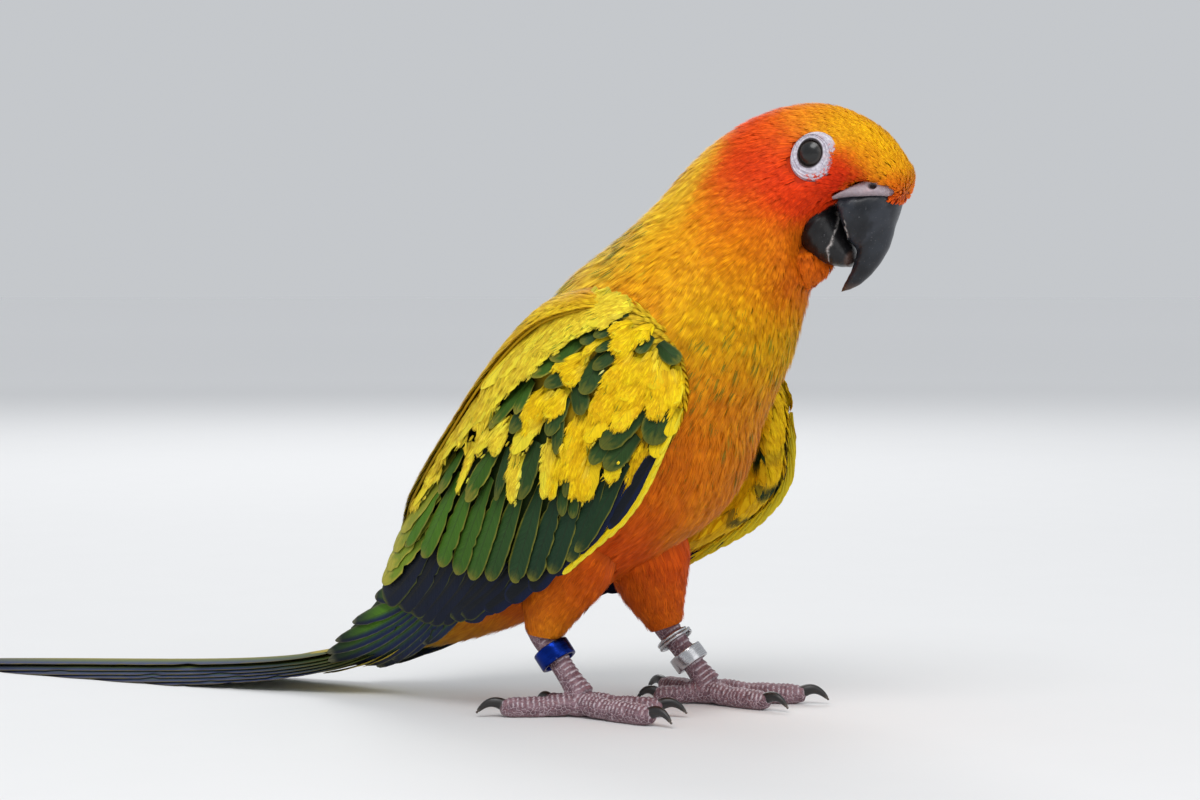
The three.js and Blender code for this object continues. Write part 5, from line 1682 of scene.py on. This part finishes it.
def bare_ring(side):
    turn = ring_angles(220)
    place = concatenate([linspace(0, 2, 8), linspace(2, 9, 64)[1:], linspace(9, 11, 8)[1:]])
    place2, turn2 = lattice(place, turn)
    section = RING_SECTION(place2)
    r, out = section[..., 0], section[..., 1]
    skin_part = ease(3.3, 3.9, r) * ease(6.3, 5.7, r)
    # Radial creases wander; ring creases come from three waves of unlike length.
    wander = 0.35 * sin(3 * turn2 + 1.0) + 0.2 * sin(7 * turn2 + r)
    rings = sin(9.5 * (r + 0.16 * wander) + 0.8 * sin(2 * turn2))
    rays = sin(34 * turn2 + 2.4 * sin(1.7 * r) + 3 * sin(3 * turn2)) * sin(3.1 * r + 5 * turn2)
    relief = skin_part * (0.05 * rings + 0.035 * rays)
    r_oval = r + ease(3.3, 6.5, r) * (ring_reach(turn2) - 6.3)
    bow = -0.011 * r * r * cos(2 * turn2) - 0.01 * r * r
    # The upper lid hangs a little over the ball.
    hang = 0.22 * clip(sin(turn2), 0, 1) * ease(3.5, 2.9, r)
    slim = 1 - 0.13 * ease(4.4, 3.4, r)
    grid = in_head(EYE_MIDDLE + r_oval * slim * cos(turn2), side * (EYE_OUT + out + bow + relief),
                   EYE_MIDDLE + r_oval * sin(turn2) - hang)
    lid_and_nostril_shade = ease(3.5, 3.22, r)
    # The creases are painted darker as shade in the finish, as well as sunk by its bump.
    crease_shade = skin_part * clip(0.5 - 0.5 * rings, 0, 1) * 0.8 + 0.4 * skin_part * clip(-rays, 0, 1)
    speck = ease(4.2, 4.8, r) * ease(0.2, 0.7, cos(turn2 + 0.3))
    rows, around = r.shape
    points = grid.reshape(-1, 3)
    faces = grid_faces(rows, around, wrap=True)
    # A back wall closes the ring into a thin solid.
    faces += [((rows - 1) * around + j, (rows - 1) * around + (j + 1) % around, (j + 1) % around, j)
              for j in range(around)]
    quads = array(faces)
    a, b, c = (points[quads[:, i]] for i in (0, 1, 2))
    if np.cross(b - a, c - a)[:rows * around // 2, 1].sum() * side < 0:
        faces = quads[:, ::-1]
    values = {"crease_shade": crease_shade.ravel(), "lid_and_nostril_shade": lid_and_nostril_shade.ravel(), "speck": speck.ravel(), "rosy": 0 * lid_and_nostril_shade.ravel()}
    return make_mesh("bare_ring_" + SIDES[side], points, faces, values, material=bare_skin)


rings_of_skin = {side: bare_ring(side) for side in SIDES}

# %% [markdown]
# The cere is a soft swelling of bare skin over the root of the bill. Each side holds a round nostril,
# a shallow pit painted nearly black as shade. It has pores and fine wrinkles like the ring round the eye.

# %% Cere
cere_rows = curve([
    # station, forward, up, half width, height
    [0, 7, -7.6, 7.2, 2.6], [1, 8.8, -5.6, 8.4, 4.6], [2, 11, -3.9, 8, 6.2], [3, 14.2, -2.5, 6.9, 5.2],
    [4, 16.6, -1.5, 5.7, 3.8], [5, 18.2, -1.2, 4.2, 2.4], [6, 19.4, -1.4, 2.4, 1.2],
])


def cere_shape():
    station, turn = lattice(linspace(0, 6, 90), ring_angles(96))
    f, u, half, tall = np.moveaxis(cere_rows(station), -1, 0)
    high = tall * sin(turn)
    high = np.where(high < 0, high * 0.5, high)
    forward, left, up = f + 0.5 * high, half * cos(turn), u + 0.9 * high
    # The nostril: a pit with a soft raised rim.
    near = hypot(forward - 14.6, (up + 0.7) * 1.15)
    side = ease(3.0, 4.5, abs(left)) * (sin(turn) > -0.1)
    pit = ease(1.05, 0.55, near) * side
    rim = exp(-((near - 1.35) / 0.35) ** 2) * side
    folds = 0.06 * sin(5 * forward + 2.2 * sin(1.3 * left) + 3 * up) * sin(1.7 * forward - 2 * left)
    swell = 1 + (folds + 0.14 * rim - 1.0 * pit) / maximum(hypot(left, high), 2.5)
    grid = in_head(forward, left * swell, u + (up - u) * swell)
    # The wrinkles of the cere are painted darker as shade.
    crease_shade = clip(-folds * 12, 0, 1) * 0.6
    red = ease(0.4, 2.6, up + 0.9) * 0.6
    # The nostril pit is painted nearly black as shade.
    values = {"crease_shade": crease_shade, "lid_and_nostril_shade": pit * 0.97, "speck": red * (1 - pit), "rosy": 1 + 0 * pit}
    return closed_rings("cere_skin", grid, in_head(6.6, 0, -7.0), in_head(19.8, 0, -2.2), bare_skin, values)


cere_skin = cere_shape()

# %% [markdown]
# The bill is horn: slate grey, nearly black, with its ridge painted lighter as a highlight and the lower bill
# painted darker as shade.
# Thin sheets of old horn flake away and leave pale broken lines. Both halves are rings along a curved
# middle, and the lines are drawn as raised edges at the places where this bird has them.


# %% Horn of the bill
def horn_nodes(g):
    flake, ridge, growth, lower_bill_shade = g.number("flake", "ridge", "growth", "lower_bill_shade")
    place = g.place()
    fine = g.noise(place, 900.0, 4.0, 0.6)
    broad = g.noise(place, 170.0, 3.0)
    band = g.noise(g.xyz(growth * 2.4, broad * 1.5), 1.0, 3.0)
    dark = g.blend((0.006, 0.007, 0.01, 1), (0.022, 0.026, 0.034, 1), broad.soft_step(0.3, 0.75))
    dark = g.blend(dark, (0.05, 0.056, 0.072, 1), band.soft_step(0.45, 0.7) * 0.5)
    # Painted highlight: the ridge of the upper bill is made lighter and bluer.
    dark = g.blend(dark, (0.11, 0.12, 0.15, 1), ridge * 0.2)
    # Painted shade: the lower bill is made nearly black.
    dark = g.blend(dark, (0.006, 0.005, 0.005, 1), lower_bill_shade * 0.85)
    dark = g.blend(dark, (0.07, 0.04, 0.032, 1), growth.soft_step(0.9, 1.0))
    broken = flake * fine.soft_step(0.36, 0.56)
    scratch = g.noise(place, 2600.0, 1.0).soft_step(0.7, 0.74) * 0.5
    colours = g.blend(dark, (0.46, 0.42, 0.4, 1), broken)
    colours = g.blend(colours, (0.22, 0.22, 0.23, 1), scratch * broad)
    return {
        "Base Color": colours,
        "Roughness": 0.26 + fine * 0.22 + flake * 0.2,
        "Normal": g.bump(band * 0.5 + fine * 0.35 + broken * 1.2, 0.4, 0.0003),
    }


horn = material("bill_horn", horn_nodes, Specular_IOR_Level=0.28, Coat_Weight=0.16, Coat_Roughness=0.2)

# %% Shape of the bill
UPPER_BILL = [
    # station, upper edge forward and up, lower edge forward and up, half width
    [0, 9, -5.6, 9.2, -8.8, 6.9], [1, 12.4, -2.9, 11.2, -11.4, 7.2], [2, 16.6, -1, 13.4, -14, 6.6],
    [3, 19.8, -1.8, 15.2, -15.2, 5.4], [4, 20.9, -7, 16, -16.2, 4.4],
    [5, 21.8, -11.8, 16.2, -17.9, 3.6], [6, 21.3, -17, 16.4, -20.4, 2.7],
    [7, 19.7, -21.6, 16.2, -23.2, 1.6], [7.6, 17.9, -24.1, 16.1, -24.6, 0.8],
]
LOWER_BILL = [
    [0, 6.6, -8.8, 2.4, -18.2, 6.5], [1, 8.4, -9.9, 4.2, -20.4, 6.9], [2, 10.4, -11.4, 7.4, -21.5, 6.5],
    [3, 12, -13.2, 10.6, -21.4, 5.6], [4, 13.6, -14.8, 13.4, -20.8, 4.6], [5, 15.3, -16.4, 15.6, -19.8, 3.4],
]
FLAKES = {
    "bill_upper": [([(12.6, -11.4), (13.3, -12.2), (13.9, -13.3), (13.4, -14.6)], 0.16),
                   ([(12.2, -10.4), (12.9, -10.9)], 0.12)],
    "bill_lower": [([(8.2, -9.9), (9.6, -11.2), (10.5, -13.1), (10.9, -14.8)], 0.13),
                   ([(11.1, -15.2), (11.4, -16.4), (11, -17.6), (11.6, -18.5)], 0.24),
                   ([(11.6, -18.5), (11.9, -20.2)], 0.14),
                   ([(3.6, -18.9), (4.8, -20.6), (7.6, -21.5), (10.4, -21.4)], 0.3)],
}


def bill_part(name, table, start, end, narrow):
    rows = curve(table)
    last = table[-1][0]
    station, turn = lattice(linspace(0, last, 120), ring_angles(72))
    f0, u0, f1, u1, half = np.moveaxis(rows(station), -1, 0)
    sine, cosine = sin(turn), cos(turn)
    square = mix(0.42, 1.0, ease(1.5, 4.5, station)) if narrow else 1.0
    wide = half * np.sign(cosine) * abs(cosine) ** square * (1 - narrow * clip(sine, 0, 1))
    f_middle, u_middle = (f0 + f1) / 2, (u0 + u1) / 2
    forward, up = f_middle + (f0 - f1) / 2 * sine, u_middle + (u0 - u1) / 2 * sine
    flake = np.zeros(forward.shape)
    for line, width in FLAKES[name]:
        flake = maximum(flake, near_line(forward, up, line, width))
    flake = flake * ease(0.5, 1.5, abs(wide))
    ripple = 0.03 * sin(station * 9 + 0.6 * sin(3 * turn)) + 0.1 * flake
    grow = 1 + ripple / maximum(half, 1)
    grid = in_head(mix(f_middle, forward, grow), wide * grow, mix(u_middle, up, grow))
    # The ridge value paints a highlight on the upper bill.
    ridge = exp(-((turn - pi / 2) / 0.55) ** 2) * (narrow > 0) * ease(1.5, 3.0, station)
    # The lower bill is painted darker all over as shade.
    values = {"flake": flake, "ridge": ridge * ease(6.5, 4.5, station), "growth": station / last,
              "lower_bill_shade": (narrow == 0) + 0 * station}
    return closed_rings(name + "_horn", grid, in_head(*start), in_head(*end), horn, values)


bill_upper = bill_part("bill_upper", UPPER_BILL, (7.6, 0, -7.2), (16.2, 0, -25.5), 0.12)
bill_lower = bill_part("bill_lower", LOWER_BILL, (3.0, 0, -12.8), (16.1, 0, -18.2), 0.0)

# %% [markdown]
# A parrot has two toes in front and two behind. Leg and toes are tubes; voxels weld them into one
# fleshy foot, which a light smoothing rounds off. Then each point looks up the nearest tube: along the
# top of a toe the skin is raised into overlapping scutes, and the sole stays soft and flat.

# %% Feet
TOES = [
    # name, turn from straight ahead, length, start forward and sideways, radius
    ("inner_front", -14, 15.5, 2.2, -2, 2.2), ("outer_front", 17, 19.5, 2.2, 2, 2.3),
    ("inner_back", -158, 9.5, -2, -2, 2), ("outer_back", 152, 15, -2, 2.2, 2.2),
]
FLOOR_GAP = 0.02
toe_height = curve([[0, 1.3], [0.33, 1.02], [0.62, 0.97], [0.86, 0.95], [1, 0.98]])
toe_radius = curve([[0, 1.1], [0.33, 1.0], [0.62, 1.04], [0.86, 0.95], [1, 0.74]])


def toe_path(leg, toe, count=44):
    _, turn, long, ahead, aside, radius = toe
    t = linspace(0, 1, count)
    angle = deg(turn * leg["side"])
    x = leg["palm"][0] + ahead + math.cos(angle) * long * t
    y = leg["palm"][1] + aside * leg["side"] + math.sin(angle) * long * t
    knuckle = 0.07 * sin(t * 9.5) ** 2
    return vec(x, y, radius * toe_height(t)[:, 0]), radius * (toe_radius(t)[:, 0] + knuckle)


def shank_path(leg, count=44):
    ankle, palm = array(leg["ankle"], float), array(leg["palm"], float)
    start = ankle + unit(ankle - palm) * 3
    t = linspace(0, 1, count)
    radii = curve([[0, 2.6], [0.2, 2.9], [0.5, 2.5], [0.8, 2.6], [1, 3.2]])(t)[:, 0]
    return mix(start, palm, t[:, None]), radii


def tube_part(path, radii, sides=20):
    """Rings round a path and the blunt points that close its ends."""
    grid, _ = tube_rings(path, radii, ring_angles(sides))
    d = unit(np.gradient(path, axis=0))
    return grid, path[0] - d[0] * radii[0] * 0.35, path[-1] + d[-1] * radii[-1] * 0.35


# %% Weld tubes into one foot
def weld(name, parts, size, smooth):
    """Join closed parts and weld them by voxels into one smooth closed surface."""
    made = [closed_rings(name + str(i), *part) for i, part in enumerate(parts)]
    joined = bmesh.new()
    for part in made:
        joined.from_mesh(part.data)
        bpy.data.objects.remove(part)
    mesh = bpy.data.meshes.new(name)
    joined.to_mesh(mesh)
    joined.free()
    ball = put(name, mesh)
    step = ball.modifiers.new("voxels", "REMESH")
    step.mode = "VOXEL"
    step.voxel_size = size * MM
    step.use_smooth_shade = True
    soft = ball.modifiers.new("soften", "SMOOTH")
    soft.factor = 0.5
    soft.iterations = smooth
    return as_built(ball, name)


# %% Scutes of a foot
def scaly_foot(name, leg):
    shank, shank_radii = shank_path(leg)
    tubes = [(shank, shank_radii)] + [toe_path(leg, toe) for toe in TOES]
    parts = [tube_part(path, radii) for path, radii in tubes]
    turn = linspace(0.05, pi - 0.05, 20)
    ring = np.stack([sin(turn), cos(turn)], axis=-1)
    t = ring_angles(24)
    pad = vec(leg["palm"][0] + 5.0 * ring[:, :1] * cos(t), leg["palm"][1] + 4.4 * ring[:, :1] * sin(t),
              2.7 + 3.0 * ring[:, 1:] + 0 * t)
    parts.append((pad, pad[0].mean(axis=0), pad[-1].mean(axis=0)))
    mesh = weld(name, parts, size=0.34, smooth=5)
    count = len(mesh.vertices)
    points, normals = np.empty((2, count * 3), np.float32)
    mesh.vertices.foreach_get("co", points)
    mesh.vertices.foreach_get("normal", normals)
    points, normals = points.reshape(-1, 3) / MM - SHIFT, normals.reshape(-1, 3)
    best = np.full(count, 1e9)
    run, scute_side, which = np.zeros(count), np.zeros(count), np.zeros(count)
    for number, (path, radii) in enumerate(tubes):
        distance = np.linalg.norm(points[:, None] - path[None], axis=-1) - radii[None]
        i = distance.argmin(axis=1)
        near = distance[np.arange(count), i]
        length = concatenate([[0], np.cumsum(np.linalg.norm(np.diff(path, axis=0), axis=1))])
        d = unit(np.gradient(path, axis=0))[i]
        offset = points - path[i]
        along = length[i] + (offset * d).sum(-1)
        front = array([0.0, 0.0, 1.0]) if number else array([1.0, 0.0, 0.4])
        facing = (unit(offset - d * (offset * d).sum(-1, keepdims=True)) * front).sum(-1)
        closer = near < best
        best = np.where(closer, near, best)
        run = np.where(closer, along, run)
        scute_side = np.where(closer, facing, scute_side)
        which = np.where(closer, number, which)
    period = np.where(which == 0, 1.35, 1.15)
    phase = run / period + 0.12 * sin(which * 5 + run)
    saw = phase - np.floor(phase)
    plate = ease(-0.05, 0.45, scute_side)
    relief = (0.26 * ease(0, 0.8, saw) * ease(1.0, 0.86, saw) - 0.1) * plate
    points = points + normals * relief[:, None]
    points[:, 2] = maximum(points[:, 2], FLOOR_GAP)
    mesh.vertices.foreach_set("co", ((points + SHIFT) * MM).astype(np.float32).ravel())
    edge = ease(0.72, 0.92, saw) * plate
    add_values(mesh, {"plate": plate, "edge": edge, "sole": ease(0.9, 0.3, points[:, 2])})
    mesh.materials.append(foot_skin)
    mesh.update()
    print(name, len(mesh.polygons), "faces")
    return put(name, mesh)


# %% [markdown]
# The skin of the foot is mauve grey. Each scute ends in a pale dry edge, and between the scutes and
# down the sides lie small round scales, drawn with cell edges, over redder skin.


# %% Finish of the feet
def foot_nodes(g):
    place = g.place()
    plate, edge, sole = g.number("plate", "edge", "sole")
    wander = g.noise(place, 500.0, 2.0)
    cells = g.node("ShaderNodeTexVoronoi", {"feature": "DISTANCE_TO_EDGE"},
                   {"Vector": place, "Scale": 1050.0, "Randomness": 0.85}, out="Distance")
    border = cells.soft_step(0.1, 0.02)
    grain = g.noise(place, 2200.0, 3.0)
    mauve = g.blend((0.125, 0.062, 0.08, 1), (0.25, 0.15, 0.18, 1), wander.soft_step(0.3, 0.7))
    mauve = g.blend(mauve, (0.19, 0.045, 0.045, 1), cells.soft_step(0.16, 0.05) * 0.45)
    dry = border * (1.0 - plate * 0.75) * grain.soft_step(0.35, 0.55)
    mauve = g.blend(mauve, (0.56, 0.48, 0.53, 1), dry * 0.75)
    mauve = g.blend(mauve, (0.66, 0.58, 0.62, 1), edge * grain.soft_step(0.3, 0.5) * 0.9)
    colours = g.blend(mauve, (0.3, 0.19, 0.2, 1), sole * 0.5)
    height = cells.soft_step(0.0, 0.3) * (1.0 - plate * 0.6) + grain * 0.25
    return {
        "Base Color": colours,
        "Roughness": 0.48 + edge * 0.3 + grain * 0.1,
        "Normal": g.bump(height, 0.55, 0.0003),
    }


foot_skin = material("foot_skin", foot_nodes, Specular_IOR_Level=0.4)
feet = {name: scaly_foot("foot_skin_" + name, leg) for name, leg in LEGS.items()}

# %% [markdown]
# Claws are curved cones of black horn with a blunt worn tip, a little flat on the sides, with a faint
# grain along them.


# %% Claws
def claw_nodes(g):
    along, turn = g.number("along", "turn")
    grain = g.noise(g.xyz(turn * 26.0, along * 1.2), 1.0, 2.0)
    dark = g.blend((0.007, 0.006, 0.006, 1), (0.03, 0.026, 0.024, 1), grain.soft_step(0.35, 0.75))
    colours = g.blend(dark, (0.16, 0.125, 0.1, 1), along.soft_step(0.82, 1.0) * 0.7)
    cuff = g.noise(g.place(), 900.0, 2.0).soft_step(0.4, 0.7) * along.soft_step(0.16, 0.0)
    colours = g.blend(colours, (0.3, 0.25, 0.25, 1), cuff)
    return {"Base Color": colours, "Roughness": 0.28 + grain * 0.2,
            "Normal": g.bump(grain, 0.3, 0.0002)}


claw_horn = material("claw_horn", claw_nodes, Specular_IOR_Level=0.5, Coat_Weight=0.15, Coat_Roughness=0.2)


def claw(leg_name, leg, toe):
    path, _ = toe_path(leg, toe)
    along = unit((path[-1] - path[-2]) * array([1, 1, 0]))
    t = linspace(0, 1, 30)
    long = 7.2 if toe[2] > 12 else 5.6
    centre = path[-1] + along * (-0.6 + long * 0.86 * t)[:, None]
    centre[:, 2] += 0.5 + 1.5 * sin(t * 2.2) - 2.9 * t * t
    radius = toe[5] * 0.62 * curve([[0, 1.0], [0.3, 0.86], [0.6, 0.64], [0.85, 0.4], [1, 0.18]])(t)[:, 0]
    grid, start, tip = tube_part(centre, radius, 28)
    turn = ring_angles(28)
    squeeze = 1 - 0.16 * cos(turn) ** 2
    grid = centre[:, None] + (grid - centre[:, None]) * squeeze[None, :, None]
    grid[..., 2] = maximum(grid[..., 2], FLOOR_GAP)
    tip[2] = max(tip[2], 0.03)
    return closed_rings("claw_tip_" + leg_name + "_" + toe[0], grid, start, tip, claw_horn,
                        {"along": t[:, None], "turn": abs(turn / pi - 1)})


claws = {(name, toe[0]): claw(name, leg, toe) for name, leg in LEGS.items() for toe in TOES}

# %% [markdown]
# The rings on the legs: a band of blue anodised metal on the right leg, and on the left a steel band
# with a split ring of two turns of wire above it. Bands are a rounded section turned about the leg,
# the wire is a tube along a spiral. Metal shows fine turning marks and small dents.


# %% Rings on the legs
def metal_nodes(tint, deep):
    def build(g):
        place = g.place()
        around, along = g.number("turn", "along")
        fine = g.noise(g.xyz(around * 3.0, along * 30.0), 1.0, 4.0, 0.6)
        dents = g.noise(place, 500.0, 2.0)
        worn = g.noise(place, 1400.0, 2.0).soft_step(0.62, 0.72) * along.soft_step(0.7, 1.0)
        colours = g.blend(deep, tint, fine.soft_step(0.25, 0.75))
        colours = g.blend(colours, (0.62, 0.62, 0.64, 1), worn * 0.6)
        return {"Base Color": colours, "Roughness": fine * 0.18 + 0.16,
                "Normal": g.bump(dents * 0.6 + fine * 0.25, 0.25, 0.0002)}
    return build


blue_metal = material(
    "blue_band_metal", metal_nodes((0.006, 0.034, 0.3, 1), (0.003, 0.008, 0.09, 1)), Metallic=1.0)
steel = material("steel", metal_nodes((0.66, 0.66, 0.67, 1), (0.38, 0.38, 0.4, 1)), Metallic=1.0)

# %% Bands and wire
def leg_frame(leg, at):
    ankle, palm = array(leg["ankle"], float), array(leg["palm"], float)
    axis = unit(ankle - palm)
    u = unit(np.cross(array([0.0, 1.0, 0.0]), axis))
    return mix(ankle, palm, at), axis, u, np.cross(axis, u)


def ring_mesh(name, grid, finish, values):
    """A grid closed both round the leg and round its own section."""
    rows, around = grid.shape[:2]
    index = np.arange(rows * around).reshape(rows, around)
    next_row, next_place = np.roll(index, -1, 0), np.roll(index, -1, 1)
    faces = np.stack([index, next_place, np.roll(next_row, -1, 1), next_row], axis=-1).reshape(-1, 4)
    points = grid.reshape(-1, 3)
    full = {key: np.broadcast_to(data, (rows, around)).ravel() for key, data in values.items()}
    return make_mesh(name, points, outward(points, faces), full, material=finish)


def leg_band(name, leg, at, tall, inner, outer, finish):
    centre, axis, u, v = leg_frame(leg, at)
    h, bevel = tall / 2, 0.22
    upper = [(inner, h - bevel), (inner + bevel * 0.4, h - bevel * 0.3), (inner + bevel, h),
             (outer - bevel, h), (outer - bevel * 0.3, h - bevel * 0.3), (outer, h - bevel),
             (outer + 0.02, h * 0.5)]
    lower = [(r, -z) for r, z in upper[::-1]]
    section = array(lower[-1:] + [(inner, 0)] + upper + [(outer + 0.03, 0)] + lower[:-1])
    t = ring_angles(96)[:, None]
    r, along = section[None, :, 0], section[None, :, 1]
    grid = (centre + u * (r * cos(t))[..., None] + v * (r * sin(t))[..., None]
            + axis * (along + 0 * t)[..., None])
    values = {"turn": abs(t / pi - 1), "along": abs(along / h) + 0 * t}
    return ring_mesh(name, grid, finish, values)


def wire_loops(name, leg, at, radius, wire, lean, finish):
    centre, axis, u, v = leg_frame(leg, at)
    axis = unit(axis + v * math.sin(deg(lean)))
    u = unit(np.cross(v, axis))
    v = np.cross(axis, u)
    t = linspace(0.15, 4 * pi - 0.15, 220)
    rise = clip((t - pi * 1.75) / (pi * 0.5), 0, 1)
    path = (centre + (u * cos(t)[:, None] + v * sin(t)[:, None]) * radius
            + axis * (wire * 2.02 * (rise * rise * (3 - 2 * rise)) - wire)[:, None])
    grid, start, end = tube_part(path, np.full(len(t), wire), 14)
    run = np.broadcast_to((t / t[-1])[:, None], grid.shape[:2])
    return closed_rings(name, grid, start, end, finish, {"turn": run * 6, "along": 0.2 + 0 * run})


band_blue = leg_band("band_blue", LEGS["right"], 0.34, 4.0, 3.45, 4.3, blue_metal)
band_steel = leg_band("band_steel", LEGS["left"], 0.57, 3.6, 3.4, 4.1, steel)
wire_ring = wire_loops("wire_ring", LEGS["left"], 0.25, 3.95, 0.42, 6, steel)

# %% [markdown]
# Every piece rides on the bird's one body. The plain solids that the pieces stand for are hidden:
# the skin stands for head, neck, trunk and thighs, the vanes for each wing.

# %% Put the pieces in the frame
pieces = [skin, tail_feathers, cere_skin, bill_upper, bill_lower, band_blue, band_steel, wire_ring]
for group in (coats, wing_vanes, wing_shells, wing_coats, wing_down, shoulders, shoulder_coats, eyes,
              rings_of_skin, feet, claws):
    pieces += list(group.values())
for piece in pieces:
    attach(piece, "root")
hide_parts("head", "neck", "torso", "thigh_right", "thigh_left")
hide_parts("wing_right")
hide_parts("wing_left")
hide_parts("tail")
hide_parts("eye_right")
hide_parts("eye_left")
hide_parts("cere")
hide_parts("bill_upper")
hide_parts("bill_lower")
for (leg_name, toe_name), piece in claws.items():
    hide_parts("claw_" + leg_name + "_" + toe_name)
for leg_name, piece in feet.items():
    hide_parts("foot_" + leg_name)
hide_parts("ring_blue")
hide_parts("ring_steel")
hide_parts("ring_wire")
print(len(pieces), "pieces")

# %% [markdown]
# The floor is a wide disc of pale paper, painted lighter towards its far edge so that it melts into the
# bright room. Three wide soft lamps light the bird as an open window does: one large from above and in front,
# one from the side to fill, one behind for the rim.


# %% Studio
def studio_nodes(g):
    grain = g.noise(g.place(), 40.0, 3.0)
    # Painted light: the floor grows lighter towards its far edge.
    shade = grain * 0.015 + g.number("far") * 0.2 + 0.78
    return {"Base Color": g.grey(shade)}


studio = material("studio_paper", studio_nodes, Roughness=0.9, Specular_IOR_Level=0.1)
turn = ring_angles(96)
reach = array([0.0, 0.25, 0.5, 1.0, 2.0, 4.0, 9.0])[:, None]
floor_grid = vec(reach * cos(turn), reach * sin(turn), 0 * reach) / MM - SHIFT
far = np.broadcast_to(ease(0.6, 2.5, reach), floor_grid.shape[:2]).ravel()
floor = make_mesh("studio_floor", floor_grid.reshape(-1, 3), grid_faces(*floor_grid.shape[:2], wrap=True),
                  {"far": far}, material=studio)


def lamp(name, place, size, power):
    data = bpy.data.lights.new(name, "AREA")
    data.shape = "DISK"
    data.size = size
    data.energy = power
    made = put(name, data)
    made.location = place
    made.rotation_euler = Vector(AIM - array(place)).to_track_quat("-Z", "Y").to_euler()
    print(name, power, "watts")


AIM = (SHIFT + array([0, 0, 70.0])) * MM
lamp("key_lamp", (0.25, -0.75, 1.15), 0.8, 8.5)
lamp("fill_lamp", (1.1, -0.5, 0.5), 0.9, 2)
lamp("rim_lamp", (-0.5, 0.9, 0.9), 0.7, 5)
world = bpy.data.worlds.new("room")
world.use_nodes = True
sky = world.node_tree.nodes["Background"].inputs
sky["Color"].default_value = (0.93, 0.96, 1.0, 1)
sky["Strength"].default_value = 0.6
bpy.context.scene.world = world
bpy.context.scene.view_settings.view_transform = "Standard"

# %% [markdown]
# The camera looks at the bird's right side from a little ahead, about level with its neck and
# slightly down. A long lens from 0.7 metres keeps the bill from looking too big.

# %% Camera
TURN_ROUND, LOOK_DOWN = 25, 2.5  # degrees
camera_data = bpy.data.cameras.new("camera")
camera_data.lens = 92.4
camera_data.sensor_width = 36.0
camera_data.clip_start = 0.01
camera = put("camera", camera_data)
camera.location = (SHIFT + array([295.55, -633.81, 100.53])) * MM
camera.rotation_euler = (deg(90 - LOOK_DOWN), 0, deg(TURN_ROUND))
bpy.context.scene.camera = camera

# %% [markdown]
# Last, the scene is brought up to date.

# %% Close the frame
bpy.context.view_layer.update()
